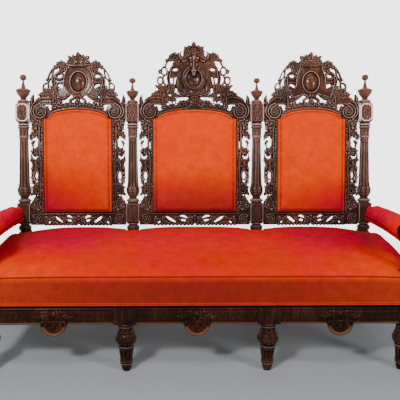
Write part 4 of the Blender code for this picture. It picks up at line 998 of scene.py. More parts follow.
def side_strip():
    board = Board(0.6, STRIP, STRIP_FOOT, STRIP_TOP)
    foot, top = STRIP_FOOT - 5, STRIP_TOP + 5
    plate(board, [(-5, foot), (-5, top), (15, top), (13, foot)], 3, 3)
    band(board, [(4, STRIP_TOP), (4, 340), (5, STRIP_FOOT)], (4,), 4, 6)
    for z in np.arange(STRIP_FOOT + 16, STRIP_TOP - 10, 31):
        leaf(board, [(13, z - 12), (6, z), (10, z + 15)], 8, 2, 8, 7)
    band(board, [(20, 560), (22, 500), (24, 440), (22, 400)], (7, 5, 6, 5), 10, 7)
    band(board, [(20, 400), (14, 340), (15, 290), (19, 230), (17, 170)], (5, 7, 6, 6, 8), 11, 7)
    plate(board, [(10, 580), (66, 580), (66, 556), (58, 520), (40, 500), (34, 470), (12, 470)], 4, 4)
    for ground in (
        [(10, 420), (40, 424), (58, 412), (66, 396), (68, 360), (60, 338), (66, 318), (66, 284), (12, 300)],
        [(10, 300), (64, 300), (64, 246), (52, 238), (62, 224), (58, 200), (48, 184), (12, 190)],
    ):
        plate(board, ground, 3, 4)
    plate(board, [(8, 200), (40, 192), (58, 164), (66, 150), (76, 120), (76, foot), (8, foot)], 4, 4)
    spray(
        board, 10, 9,
        ([(12, 536), (20, 552), (34, 566)], 13, 3), ([(30, 560), (48, 558), (62, 546)], 13, 3),
        ([(34, 536), (50, 530), (60, 514)], 13, 3), ([(26, 500), (44, 500), (64, 484), (66, 464)], 18, 4),
        ([(46, 462), (58, 452), (56, 428)], 8, 3), ([(18, 414), (40, 420), (69, 404)], 15, 4),
        ([(20, 404), (34, 398), (46, 402)], 11, 3), ([(14, 360), (34, 356), (56, 372), (62, 392)], 17, 4),
        ([(40, 366), (60, 360), (70, 368)], 12, 2), ([(24, 330), (48, 336), (66, 314)], 13, 3),
        ([(20, 262), (32, 244), (48, 238)], 15, 3), ([(28, 236), (48, 228), (68, 222)], 13, 3),
        ([(22, 238), (42, 214), (68, 180)], 19, 4), ([(14, 214), (22, 196), (30, 176)], 14, 3),
        ([(14, 176), (34, 164), (56, 158)], 16, 3), ([(20, 150), (40, 142), (62, 148)], 15, 4),
        ([(14, 128), (36, 122), (62, 124)], 15, 4), ([(44, 176), (52, 150), (64, 118)], 11, 4),
    )
    for place, half in (
        ((31, 549), 8.5), ((39, 525), 8), ((52, 480), 6), ((59, 296), 6), ((62, 276), 7), ((58, 262), 7),
        ((59, 248), 6), ((47, 136), 6), ((30, 112), 7), ((28, 240), 7),
    ):
        dome(board, place, half, half, 11, 12)
    band(board, [(40, 352), (41, 332), (38, 306)], (7, 12, 6), 14, 9)
    band(board, [(31, 306), (27, 284), (33, 262)], (5,), 10, 9)
    band(board, [(47, 306), (51, 284), (46, 262)], (4,), 10, 9)
    openings(
        board,
        ([(41, 456), (43, 444), (42, 430)], (5, 8.5, 6)), ([(39, 298), (39, 284), (38, 270)], (5, 8.5, 5)),
        ([(36, 256), (43, 254)], (3.5, 4)), ([(34, 383), (44, 374), (55, 378), (61, 392)], (3, 5.5, 4, 3)),
        ([(76, 342), (66, 337)], (8, 2)), ([(78, 206), (68, 204)], (6, 3)),
        ([(78, 168), (62, 166), (54, 174)], (11, 6, 3)), ([(37, 184), (38, 183)], (3.5, 3.5)),
        ([(78, 418), (68, 426), (62, 438)], (6, 4, 3)), ([(78, 508), (70, 508)], (7, 4)),
        ([(77, 528), (70, 520)], (8, 4)), ([(78, 240), (68, 240)], (7, 4)),
        ([(82, 566), (82, 120)], (9.0, 8.5)),
    )
    return board


# %% [markdown]
# ## Bottom rails
# Under each pad runs a rail with a spiral rosette at each end, paired openings, and a flower drop in
# the middle. Its lower edge is scalloped, and stands clear of the seat, so that daylight shows below.


# %% Bottom rail
RAIL_FOOT, RAIL_TOP, RAIL_DROP = 38.5, 105.4, -12


def shifted(board, across, up=0.0):
    board.xs, board.zs = board.xs + across, board.zs + up
    board.x, board.z = np.meshgrid(board.xs, board.zs)
    left, right, low, high = board.limits
    board.limits = (left + across, right + across, low + up, high + up)
    return board


def bottom_rail(half_open, half_pad):
    board = Board(-half_open, 0, RAIL_FOOT, RAIL_TOP)
    plate(board, [(-half_open - 5, RAIL_TOP + 5), (5, RAIL_TOP + 5), (5, 56), (-half_open - 5, 52)], 4, 4)
    band(board, [(-half_open - 5, 101), (5, 101)], (4.5,), 6, 7)
    out = half_pad - SIDE_HALF_PAD
    plate(board, [(-half_open, 100), (-half_pad + 4, 100), (-half_pad + 4, 44), (-half_open, 44)], 4, 6)
    volute(board, (-half_pad - 37, 73), 30, 1.8, 130, -1, 7, 10, 9)
    for x in np.linspace(-half_pad + 8, -14, 9 + round(out / 20)):
        dome(board, (x, 49), 9.5, 9, 8, 8)
    scale = half_pad / SIDE_HALF_PAD
    for points, width, lobes in (
        ([(-150, 62), (-132, 78), (-118, 92)], 12, 3), ([(-150, 74), (-128, 62), (-100, 50)], 12, 4),
        ([(-84, 84), (-70, 70), (-76, 50)], 14, 3), ([(-90, 62), (-74, 66), (-60, 78)], 13, 3),
        ([(-56, 76), (-44, 80), (-30, 92)], 9, 2), ([(-26, 88), (-22, 70), (-34, 52)], 13, 3),
        ([(-170, 60), (-160, 74), (-166, 92)], 12, 3),
    ):
        leaf(board, [(x * scale, z) for x, z in points], width, lobes, 9, 9)
    dome(board, (0, 72), 11, 11, 13, 10)
    for angle in range(0, 360, 60):
        turn = math.radians(angle + 30)
        x, z = math.cos(turn), math.sin(turn)
        leaf(board, [(8 * x, 72 + 8 * z), (25 * x, 72 + 23 * z)], 9, 1, 9, 10, 0.1)
    openings(
        board,
        ([(-116, 84), (-104, 74), (-84, 60)], (4, 6.5, 4)), ([(-60, 89), (-46, 88), (-34, 80)], (3, 5, 3)),
        ([(-54, 68), (-42, 66)], (4.5, 5)), ([(-152, 56), (-146, 60)], (4, 3)),
        stretch=scale,
    )
    return mirrored(shifted(board, 0, RAIL_DROP))


for bay in BAYS:
    half_open = half_opening(bay)
    half_pad = half_open - STRIP
    right_strip = shifted(side_strip(), half_pad)
    set_board(f"panel_side_{bay}_right_carved", right_strip, bay, [f"panel_side_{bay}_right"])
    set_board(f"panel_side_{bay}_left_carved", flipped(right_strip), bay, [f"panel_side_{bay}_left"])
    set_board(f"panel_rail_{bay}_carved", bottom_rail(half_open, half_pad), bay, [f"panel_rail_{bay}"])

# %% [markdown]
# ## Turned pieces
# Posts, finials, legs and arm supports are turned on a lathe, then fluted and carved. The profile is a
# list of steps from the foot up: straight lines, beads, and curves that swell out or sweep in. The
# profile is wrapped in a board of its own, so the same motifs carve leaves round a turned piece.


# %% A lathe with a board round it
FORMS = {
    "line": lambda t: t,
    "ogee": lambda t: t * t * (3 - 2 * t),
    "out": lambda t: np.sin(math.pi * t / 2),
    "in": lambda t: 1 - np.cos(math.pi * t / 2),
    "bead": lambda t: np.sqrt(1 - (2 * t - 1) ** 2),
}
LATHE_STEP = 2.4
GIRTH = 200
SQUARENESS = 22


class Turning(Board):
    """Rows are (form, low, high, radius, radius), in millimetres from the foot up."""

    def __init__(self, rows, around=84):
        heights, radii = [], []
        for form, low, high, first, second in rows:
            t = np.linspace(0, 1, max(2 if form == "line" else 6, round((high - low) / LATHE_STEP) + 1))
            heights += list(low + (high - low) * t)
            radii += list(first + (second - first) * FORMS[form](t))
        self.step = LATHE_STEP
        self.zs = np.array(heights) + np.arange(len(heights)) * 1e-5
        self.xs = (np.arange(around) / around - 0.5) * GIRTH + GIRTH / around / 2
        self.x, self.z = np.meshgrid(self.xs, self.zs)
        self.radii = np.array(radii)[:, None] + 0 * self.x
        self.edge = np.full(self.x.shape, -10.0)
        self.height = np.zeros(self.x.shape)
        self.back = np.zeros(self.x.shape)
        self.angle = self.x / GIRTH * 2 * math.pi
        self.block = np.zeros(self.x.shape)

    def flute(self, count, low, high, depth, ends=10):
        """Shallow channels with narrow ridges between them."""
        channel = (0.5 + 0.5 * np.cos(count * self.angle)) ** 0.7
        share = smoothly(self.z, low, low + ends) * (1 - smoothly(self.z, high - ends, high))
        self.height -= depth * channel * share

    def square(self, low, high, half, chamfer=4):
        """A square block left between turned parts. The angle's own corner lifts it to the square."""
        inside = (self.z >= low) & (self.z <= high)
        near_end = np.minimum(self.z - low, high - self.z)
        half = half - chamfer * (1 - smoothly(near_end, -0.1, chamfer)) * 0.8
        cosine, sine = np.abs(np.cos(self.angle)), np.abs(np.sin(self.angle))
        reach = half / (cosine**SQUARENESS + sine**SQUARENESS) ** (1 / SQUARENESS)
        self.radii = np.where(inside, reach, self.radii)
        self.block = np.where(inside, 1, self.block)

    def leaves(self, count, low, high, width, lobes, rise, turn=0.0):
        """A row of leaves round the piece, their tips at the second height."""
        for i in range(count):
            x = ((i + 0.5 + turn) / count - 0.5) * GIRTH
            points = [(x, low), (x, (low + high) / 2), (x, high)]
            leaf(self, points, width, lobes, rise, 0.4, 0.3)

    def points(self):
        reach = np.maximum(self.radii + self.height, 0.6)
        return reach, np.stack([reach * np.sin(self.angle), -reach * np.cos(self.angle), self.z], -1) / 1000


def wrapped(field, passes):
    """Softened, with the first and last columns as neighbours."""
    wide = np.hstack([field[:, -8:], field, field[:, :8]])
    return softened(wide, passes)[:, 8:-8]


def turning_mesh(name, turning):
    reach, points = turning.points()
    rows, columns = reach.shape
    # Ridges are painted bright, partly as wear and partly as a highlight, and hollows dark, as shade. Block
    # corners get a painted highlight.
    wear = np.clip((reach - wrapped(reach, 5)) / 1.6, -1, 1) * (1 - 0.6 * turning.block)
    corners = reach > reach.min(axis=1, keepdims=True) * 1.33
    wear = np.where(turning.block > 0, np.clip(wear + 0.9 * corners, -1, 1), wear)
    index = np.arange(rows * columns).reshape(rows, columns)
    after = np.roll(index, -1, axis=1)
    sides = np.stack([index[:-1], after[:-1], after[1:], index[1:]], -1).reshape(-1, 4)
    mesh = mesh_from(name, points.reshape(-1, 3), [*sides, index[0][::-1], index[-1]])
    write_wear_and_shade(mesh, wear.ravel())
    return mesh


def joined(name, meshes):
    """One mesh from several, with their wear kept."""
    points, faces, wear, start = [], [], [], 0
    for mesh in meshes:
        count = len(mesh.vertices)
        points += [tuple(vertex.co) for vertex in mesh.vertices]
        faces += [[index + start for index in polygon.vertices] for polygon in mesh.polygons]
        values = np.zeros(count, np.float32)
        if "wear" in mesh.attributes:
            mesh.attributes["wear"].data.foreach_get("value", values)
        wear.append(values)
        start += count
    mesh = mesh_from(name, points, faces)
    write_wear_and_shade(mesh, np.hstack(wear))
    return mesh


EASED_EDGE = 0.0015


def cut_copy(node_name, place, normal):
    """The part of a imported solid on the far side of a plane, closed where it was cut, its edges eased."""
    shape = bmesh.new()
    shape.from_mesh(NODES[node_name].data)
    everything = shape.verts[:] + shape.edges[:] + shape.faces[:]
    cut = bmesh.ops.bisect_plane(shape, geom=everything, plane_co=place, plane_no=normal, clear_outer=True)
    edges = [item for item in cut["geom_cut"] if isinstance(item, bmesh.types.BMEdge)]
    bmesh.ops.contextual_create(shape, geom=edges)
    bmesh.ops.dissolve_limit(shape, angle_limit=math.radians(1), verts=shape.verts, edges=shape.edges)
    closed = [edge for edge in shape.edges if len(edge.link_faces) == 2]
    sharp = [edge for edge in closed if edge.calc_face_angle(0) > math.radians(30)]
    settings = {"segments": 2, "profile": 0.6, "affect": "EDGES", "clamp_overlap": True}
    bmesh.ops.bevel(shape, geom=sharp, offset=EASED_EDGE, **settings)
    mesh = bpy.data.meshes.new(node_name + " cut")
    shape.to_mesh(mesh)
    shape.free()
    return mesh


# %% [markdown]
# ## Back posts
# Each post starts as a square leg. Above the seat come a vase, a square block, a swelling cup of
# leaves, a fluted shaft, a leafy drum between rings, and a second block with a carved panel on its
# face. The inner posts also carry foliage on the lower block.


# %% Foliage panels for the blocks
PANEL_RIM = 6.5


def block_panel(name, low, high, half):
    """A sunk panel with eight-sided border, filled with crossed leaves round a flower."""
    board = Board(-half, 0, low, high, 0.0013)
    cut = half * 0.5
    outline = [
        (0, low), (-half + cut, low), (-half, low + cut), (-half, high - cut), (-half + cut, high), (0, high),
    ]
    plate(board, outline, 0.6, 0.3, PANEL_RIM, 3.6)
    middle = (low + high) / 2
    tall = (high - low) / 2 - 7
    for way in (1, -1):
        spray(
            board, 4.5, 0.8,
            ([(0, middle), (-8, middle + way * tall * 0.5), (-half + 9, middle + way * tall * 0.82)], 8, 3),
            ([(0, middle + way * 5), (0, middle + way * tall * 0.6), (0, middle + way * tall)], 6, 3),
        )
    leaf(board, [(-3, middle), (-10, middle + 3), (-half + 6, middle)], 7, 2, 4.5, 0.8)
    ring(board, (0, middle), 12, 17, 3.2, 6, 0.8)
    dome(board, (0, middle), 6, 8, 7, 1.2)
    mesh = board_mesh(name, mirrored(board), 0, 0.0014, 0.8)

    def on_rim(x, z):
        across, along = half - np.abs(x), np.minimum(z - low, high - z)
        return np.minimum(np.minimum(across, along), (across + along - cut) / math.sqrt(2)) < PANEL_RIM

    # Painted highlight: the rims of the panels on the outer posts are painted bright.
    if "outer" in name:
        paint_rubbed_highlight(mesh, on_rim)
    return mesh


# %% Back posts
def post_turning():
    post = Turning([
        ("line", -8, 3, 24, 24), ("bead", 3, 31, 24, 33), ("ogee", 31, 36, 24, 22), ("bead", 36, 45, 26, 33),
        ("line", 45, 145, 30, 30), ("line", 145, 148, 27, 27), ("bead", 148, 165, 26, 34),
        ("ogee", 165, 172, 25, 20), ("line", 172, 176, 20, 20),
        ("out", 176, 208, 21, 32.5), ("ogee", 208, 262, 32.5, 27.5), ("line", 262, 466, 27.5, 22.5),
        ("bead", 466, 472, 22, 25), ("line", 472, 476, 21.5, 21.5), ("bead", 476, 487, 21.5, 26.5),
        ("ogee", 487, 493, 25, 22.5), ("line", 493, 514, 22.5, 23), ("bead", 514, 520, 23.5, 26),
        ("out", 520, 529, 23, 29), ("bead", 529, 536, 27, 31), ("line", 536, 540, 24.5, 24.5),
        ("bead", 540, 550, 25, 30), ("line", 550, 556, 26, 27), ("line", 556, 652, 30, 30),
        ("line", 652, 654, 26, 26), ("bead", 654, 659.4, 27, 31),
    ])
    post.flute(10, 222, 462, 3.0)
    post.leaves(8, 178, 226, 11.5, 3, 3.2)
    post.leaves(8, 489, 515, 11, 2, 2.4, 0.5)
    post.square(45, 145, 32.6)
    post.square(556, 652, 32.6, 7)
    beads(post, [(-GIRTH / 2 + 4, 543), (GIRTH / 2 - 4, 543)], 3.4, 8, 1.6, 0.4)
    return post


across = Vector((0, -math.sin(RAKE), math.cos(RAKE)))
quarter = math.radians(90)
for post_name, x in POST_X.items():
    meshes = [turning_mesh(f"{post_name} turned", post_turning())]
    panels = [(559, 649)] + ([(50, 140)] if "inner" in post_name else [])
    for low, high in panels:
        for turn in (0, -1, 1):
            panel = block_panel(f"{post_name} panel {low} {turn}", low, high, 30.2)
            panel.transform(Matrix.Rotation(turn * quarter, 4, "Z") @ Matrix.Translation((0, -0.0318, 0)))
            meshes.append(panel)
    upper = joined(f"{post_name} upper", meshes)
    upper.transform(lean(x))
    foot = Vector((x, BACK_Y, SEAT_LINE)) - 0.004 * across
    lower = cut_copy(f"back_post_{post_name}", foot, across)
    whole = joined(f"back_post_{post_name}_carved", [upper, lower])
    dressed(whole.name, whole, LIT_POST_WALNUT, [f"back_post_{post_name}"], smooth=42)
print(f"four posts, {len(whole.polygons)} faces each")

# %% [markdown]
# ## Finials
# A finial is a small turned urn with a wide rim, and a ball on a thin spire.

# %% Finials
FINIALS = {"outer": (140, 38.5), "inner": (122, 33)}
TALL, WIDE = FINIALS["inner"]
FINIAL_ROWS = [
    ("line", -1, 1, 22, 22), ("bead", 1, 8, 22, 26.5), ("ogee", 8, 12, 20, 12), ("line", 12, 15, 11, 11),
    ("bead", 15, 19, 12, 15), ("out", 19, 44, 13, 29), ("line", 44, 46, 30, 31), ("bead", 46, 53, 31, 33),
    ("in", 53, 61, 30, 11), ("ogee", 61, 94, 9.5, 4),
]
for post_name, x in POST_X.items():
    tall, wide = FINIALS[post_name.split("_")[0]]
    stretched = [
        (form, low * tall / TALL, high * tall / TALL, first * wide / WIDE, second * wide / WIDE)
        for form, low, high, first, second in FINIAL_ROWS
    ]
    finial = Turning(stretched + [("bead", tall * 94 / TALL, tall, 2, 17)], 56)
    # The rim, the spire and the ball are smooth, and this takes nearly all wear, painted shade and
    # highlight off them.
    finial.block = np.where(finial.z > tall * 0.45, 1.6, 0)
    mesh = turning_mesh(f"finial_{post_name}_turned", finial)
    mesh.transform(lean(x) @ Matrix.Translation((0, 0, 0.6592)))
    dressed(mesh.name, mesh, FINIAL_WALNUT, [f"finial_{post_name}"], smooth=42)

# %% [markdown]
# ## Front legs
# Above a small ringed foot comes a fluted shaft that widens upwards, then a bulb wrapped in hanging
# leaves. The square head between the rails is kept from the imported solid, with its edges eased.


# %% Front legs
LEG_Y = -0.32975
LEGS = {"outer_left": -0.900, "inner_left": -0.309, "inner_right": 0.309, "outer_right": 0.900}


def leg_turning():
    leg = Turning([
        ("line", 0.4, 4, 17, 18), ("out", 4, 26, 18, 23), ("ogee", 26, 31, 22, 19), ("bead", 31, 39, 22, 29),
        ("line", 39, 42, 23, 23), ("bead", 42, 50, 24, 29), ("ogee", 50, 55, 25, 26.5),
        ("line", 55, 104, 26.5, 33), ("ogee", 104, 109, 31, 29), ("bead", 109, 121, 30, 36.5),
        ("out", 121, 148, 30, 42), ("ogee", 148, 196, 42, 29), ("line", 196, 200, 27, 27),
        ("bead", 200, 211, 28, 34), ("line", 211, 213, 29, 29), ("bead", 213, 223.5, 29, 35),
    ])
    leg.flute(10, 57, 104, 3.6, 8)
    leg.leaves(8, 196, 128, 14, 4, 4.5)
    leg.leaves(8, 176, 122, 11, 3, 5.5, 0.5)
    return leg


for leg_name, x in LEGS.items():
    turned = turning_mesh(f"{leg_name} leg turned", leg_turning())
    turned.transform(Matrix.Translation((x, LEG_Y, 0)))
    head = cut_copy(f"front_leg_{leg_name}", (x, LEG_Y, 0.2235), (0, 0, -1))
    whole = joined(f"front_leg_{leg_name}_carved", [turned, head])
    dressed(whole.name, whole, LEG_WALNUT, [f"front_leg_{leg_name}"], smooth=42)
print(f"four legs, {len(whole.polygons)} faces each")

# %% [markdown]
# ## Seat rails
# The show face of a rail is a frieze of slanting reeds between two beads. The reeds lean away from the
# middle, where leaves spread from the pendant shell. Behind the face stands the plain tacking edge that
# the upholstery is nailed to. The side rails carry the same moulding.


# %% A reeded rail
RAIL_LOW, RAIL_SHOW_TOP, RAIL_HIGH = 223.2, 300, 344.6
RAIL_PLANE = LEG_Y - 0.0318


BOX_SIDES = ((0, 2, 3, 1), (4, 5, 7, 6), (0, 1, 5, 4), (1, 3, 7, 5), (3, 2, 6, 7), (2, 0, 4, 6))


def box_mesh(name, low, high):
    corners = [(x, y, z) for z in (low[2], high[2]) for y in (low[1], high[1]) for x in (low[0], high[0])]
    return mesh_from(name, corners, BOX_SIDES)


def reeded_rail(name, left, right, leafy=True):
    """Built along x in millimetres, its face on y = 0 and the room behind it."""
    board = Board(left, right, RAIL_LOW, RAIL_SHOW_TOP, 0.0022)
    board.edge[:] = 9
    board.back[:] = 0
    middle = (left + right) / 2
    side = np.sign(board.x - middle)
    phase = (board.x - middle + side * 0.45 * (board.z - 262)) / 10.5
    inside = smoothly(board.z, 238, 245) * (1 - smoothly(board.z, 280, 288))
    board.height = -1.5 + 4.5 * np.abs(np.cos(math.pi * phase)) ** 0.6 * inside
    for z, half, rise in ((229, 5.5, 5.2), (237, 2.4, 3), (294.5, 4.6, 3.6), (287, 2, 2)):
        bead = rise * np.sqrt(np.clip(1 - ((board.z - z) / half) ** 2, 0, 1))
        board.height = np.maximum(board.height, -1.5 + bead)
    if leafy:
        for turn in (-1, 1):
            for points, width, lobes in (
                ([(4, 240), (30, 262), (62, 256), (88, 262)], 15, 5),
                ([(4, 250), (22, 276), (52, 282)], 13, 4), ([(2, 244), (30, 246), (56, 240)], 9, 3),
            ):
                leaf(board, [(middle + turn * x, z) for x, z in points], width, lobes, 6, 0.5)
        dome(board, (middle, 268), 11, 13, 8, 0)
    face = board_mesh(name, board, 0, 0.0176, 0.5)
    # Painted highlight: the foot bead is painted bright along the rail.
    paint_rubbed_highlight(face, lambda x, z: np.abs(z - 228) < 4.5)
    edge = box_mesh(name + " edge", (left / 1000, 0.0078, 0.2436), (right / 1000, 0.0358, RAIL_HIGH / 1000))
    return joined(name, [face, edge])


# %% Front and side rails
HALF_HEAD = {"outer_left": 35, "inner_left": 49, "inner_right": 49, "outer_right": 35}
for bay, (first, second) in BAYS.items():
    left = LEGS[first] * 1000 + HALF_HEAD[first] + 0.4
    right = LEGS[second] * 1000 - HALF_HEAD[second] - 0.4
    rail = reeded_rail(f"front_rail_{bay}_carved", left, right)
    rail.transform(Matrix.Translation((0, RAIL_PLANE, 0)))
    dressed(rail.name, rail, RAIL_WALNUT, [f"front_rail_{bay}"])
for word, side in (("left", -1), ("right", 1)):
    _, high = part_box(f"side_rail_{word}")
    front_y, rear_y = LEG_Y + 0.0365, high.y - 0.0225
    front_x, rear_x = 0.9305, 0.8963
    length = math.hypot(rear_y - front_y, front_x - rear_x)
    rail = reeded_rail(f"side_rail_{word}_carved", -length * 500 + 0.6, length * 500 - 0.6, leafy=False)
    turn = side * (math.radians(90) + math.atan2(front_x - rear_x, rear_y - front_y))
    middle = (side * (front_x + rear_x) / 2, (front_y + rear_y) / 2, 0)
    rail.transform(Matrix.Translation(middle) @ Matrix.Rotation(turn, 4, "Z"))
    dressed(rail.name, rail, RAIL_WALNUT, [f"side_rail_{word}"])
    print(f"{rail.name}: {len(rail.polygons)} faces, {length:.3f} m long")

# %% [markdown]
# ## Shell pendants
# From the middle of each front rail hangs a shell: a smooth dish with a rounded rim that is painted bright
# along its foot as a highlight, a half-round edge behind it, and a small spray of leaves over its top.


# %% Shell pendants
def shell_pendant(name):
    board = Board(-58, 0, 174, 250, 0.0013)
    centre = (0, 231)
    fan(board, centre, 56, 180, 360, 1, 2.5, 1)
    ring(board, centre, 49, 49, 6.5, 7, 2)
    sink(board, centre, 44, 44, 0.6, 0.7)
    reach = np.hypot(board.x, board.z - 231)
    angle = np.arctan2(board.x, 231 - board.z)
    rays = 0.5 * np.cos(angle * 11) * smoothly(reach, 8, 30) * (1 - smoothly(reach, 36, 43))
    board.height += np.where(reach < 43, rays, 0)
    plate(board, [(-58, 231), (-50, 246), (0, 250), (0, 231)], 1.5, 0.5)
    spray(
        board, 6, 6,
        ([(0, 248), (0, 232), (0, 212)], 11, 3), ([(-4, 246), (-22, 240), (-38, 226)], 11, 4),
        ([(-6, 244), (-30, 246), (-54, 236)], 9, 4),
    )
    dome(board, (0, 243), 8, 8, 7, 6)
    mesh = board_mesh(name, mirrored(board), 0, 0.0055, 1.5)
    # Painted highlight: the lower rim of the shell is painted bright.
    paint_rubbed_highlight(mesh, lambda x, z: (np.hypot(x, z - 231) > 41) & (z < 222))
    return mesh


for bay, (first, second) in BAYS.items():
    x = (LEGS[first] * 1000 + HALF_HEAD[first] + LEGS[second] * 1000 - HALF_HEAD[second]) / 2000
    shell = shell_pendant(f"shell_pendant_{bay}_carved")
    shell.transform(Matrix.Translation((x, LEG_Y - 0.0425, 0)))
    dressed(shell.name, shell, RAIL_WALNUT, [f"shell_pendant_{bay}"])
    print(f"{shell.name} hangs {x:.3f} m from the middle")

# %% [markdown]
# ## Arms
# A turned baluster stands on a square stump at each front corner. It carries the arm's scroll: a drum
# with a volute on its face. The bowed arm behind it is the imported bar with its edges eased.


# %% Arm supports, scrolls and arm rails
SCROLL_Z = 614.3
for word, side in (("left", -1), ("right", 1)):
    baluster = Turning([
        ("line", 453, 456, 20, 22), ("bead", 456, 467, 23, 29), ("ogee", 467, 478, 26, 17),
        ("line", 478, 481, 17, 17), ("out", 481, 506, 18, 29), ("ogee", 506, 536, 29, 18),
        ("bead", 536, 543, 18, 23), ("line", 543, 545, 18, 18), ("bead", 545, 556, 19, 27),
        ("line", 556, 566.2, 22, 25),
    ], 60)
    baluster.leaves(8, 482, 526, 14, 3, 2.6)
    turned = turning_mesh(f"{word} baluster", baluster)
    turned.transform(Matrix.Translation((side * 0.9, LEG_Y, 0)))
    stump = cut_copy(f"arm_support_{word}", (0, 0, 0.4545), (0, 0, 1))
    whole = joined(f"arm_support_{word}_carved", [turned, stump])
    dressed(whole.name, whole, WALNUT, [f"arm_support_{word}"], smooth=42)

    disc = Board(-48, 48, 566.5, 663, 0.0015)
    dome(disc, (0, SCROLL_Z), 47.8, 47.8, 1.5, 0, 0.3)
    plate(disc, [(-24, 566.5), (24, 566.5), (24, 600), (-24, 600)], 0.5, 0)
    ring(disc, (0, SCROLL_Z), 43, 43, 4.6, 5, 0.5)
    volute(disc, (0, SCROLL_Z), 39, 2.1, 250, side, 5.5, 5, 0.8)
    drum = board_mesh(f"{word} scroll", disc, 0.0, 0.0475, 2.5)
    drum.transform(Matrix.Translation((side * 0.9, LEG_Y - 0.0165, 0)))
    bar = cut_copy(f"arm_rail_{word}", (0, LEG_Y + 0.0306, 0), (0, -1, 0))
    whole = joined(f"arm_rail_{word}_carved", [drum, bar])
    dressed(whole.name, whole, WALNUT, [f"arm_rail_{word}"], smooth=42)

# %% [markdown]
# ## Velvet
# The velvet is orange, and turns crimson towards the back of the seat and the lower corners, partly from
# the way its pile lies and partly as painted shade. Each cushion carries that as one number, and carries
# painted light and shade as a second: darker in seams, creases, lower parts and faces turned from the
# light, lighter on raised borders. Fine ribs, slubs and clouds come from waves and noise. The soft bright
# edge of the pile is the shader's sheen.


# %% Velvet
VELVET_STOPS = [
    (0.0, (0.94, 0.072, 0.001)), (0.30, (0.84, 0.036, 0.003)),
    (0.65, (0.74, 0.010, 0.016)), (1.0, (0.62, 0.001, 0.036)),
]
# Where the painted shade is deep, the velvet is turned towards this browner colour.
SHADE_BROWN = (0.76, 0.088, 0.078, 1)


def velvet(name):
    made, tree, shader = finish(name, sheen_weight=0.10, sheen_roughness=0.35)
    shader.inputs["Specular IOR Level"].default_value = 0.0
    shader.inputs["Sheen Tint"].default_value = (1.0, 0.14, 0.02, 1)
    flush = node(tree, "ShaderNodeAttribute", {"attribute_name": "flush"}, out=2)
    nap = node(tree, "ShaderNodeAttribute", {"attribute_name": "nap"}, out=2)
    place = node(tree, "ShaderNodeTexCoord", out=3)
    weft = noise(tree, stretched_place(tree, (12, 60, 60)), 3.0, 4.0)
    warp = noise(tree, stretched_place(tree, (60, 60, 12)), 2.4, 4.0)
    clouds = noise(tree, place, 3.6, 3.0)
    crushed = noise(tree, place, 22.0, 3.0)
    slub = weft * 0.5 + warp * 0.5
    share = held_within(tree, flush + (clouds - 0.5) * 0.9 + (slub - 0.5) * 0.5)
    # Painted light and shade: the colour is scaled darker or lighter by the shading number, and turned
    # browner where that shade is deep.
    deep_shade = held_within(tree, nap * -1.4 - 0.5)
    colour = blend_colours(tree, deep_shade * 0.8, ramp(tree, VELVET_STOPS, share), SHADE_BROWN)
    unevenness = 1.0 + (slub - 0.5) * 0.8 + (crushed - 0.5) * 0.5 + (clouds - 0.5) * 0.4
    shaded_colour = scaled(tree, colour, (0.80 + nap * 0.70) * unevenness)
    ribs, cross = threads(tree, place, "Z", 95.0, 1.2), threads(tree, place, "X", 110.0, 1.2)
    pile = ribs * 0.6 + cross * 0.4 + slub * 1.2 + crushed
    feed(tree, shader, base_color=shaded_colour, roughness=0.74 + slub * 0.2, normal=bumps(tree, 0.3, pile))
    return made


VELVET = velvet("velvet")

# %% [markdown]
# ## Stuffing
# Each cushion starts a little slack. Blender's Cloth then blows it up from inside while its nailed and
# sewn parts are held. No point may move further than the stuffing would push it, so the cushion keeps
# its place.


# %% Blowing up a cushion
def applied(piece):
    graph = bpy.context.evaluated_depsgraph_get()
    mesh = bpy.data.meshes.new_from_object(piece.evaluated_get(graph))
    piece.modifiers.clear()
    piece.data = mesh
    return mesh


def remeshed(name, mesh, voxel):
    """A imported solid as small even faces."""
    piece = piece_from(name, mesh.copy())
    even = piece.modifiers.new("even faces", "REMESH")
    even.mode = "VOXEL"
    even.voxel_size = voxel
    applied(piece)
    return piece


def moved(piece, points):
    piece.data.vertices.foreach_set("co", points.ravel())
    piece.data.update()


CLOTH_FRAMES = 20


def stuffed(piece, held, cap, pressure):
    """Held is true for points that the nails and seams hold. Cap is how far each point may go."""
    start = coordinates(piece.data)
    group = piece.vertex_groups.new(name="held")
    group.add([int(i) for i in np.nonzero(held)[0]], 1, "REPLACE")
    cloth = piece.modifiers.new("cloth", "CLOTH")
    cloth.settings.use_pressure = True
    cloth.settings.uniform_pressure_force = pressure
    cloth.settings.vertex_group_mass = "held"
    cloth.settings.effector_weights.gravity = 0
    cloth.settings.quality = 4
    cloth.point_cache.frame_end = CLOTH_FRAMES
    for step in range(1, CLOTH_FRAMES + 1):
        bpy.context.scene.frame_set(step)
    push = coordinates(applied(piece)) - start
    bpy.context.scene.frame_set(1)
    length = np.linalg.norm(push, axis=1)
    push *= (np.minimum(length, cap) / np.maximum(length, 1e-9))[:, None]
    print(f"{piece.name}: {len(start)} points, pushed {length.mean() * 1000:.1f} mm on average")
    return start + push


def upholstered(piece, flush, nap):
    """Subdivided once, with the numbers that the velvet reads."""
    piece.vertex_groups.clear()
    for key, values in (("flush", np.clip(flush, 0, 1)), ("nap", np.clip(nap, -1, 1))):
        attribute = piece.data.attributes.new(key, "FLOAT", "POINT")
        attribute.data.foreach_set("value", values.astype(np.float32))
    finer = piece.modifiers.new("finer", "SUBSURF")
    finer.levels = finer.render_levels = 1
    mesh = applied(piece)
    mesh.shade_smooth()
    mesh.materials.clear()
    mesh.materials.append(VELVET)
    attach(piece, "root")


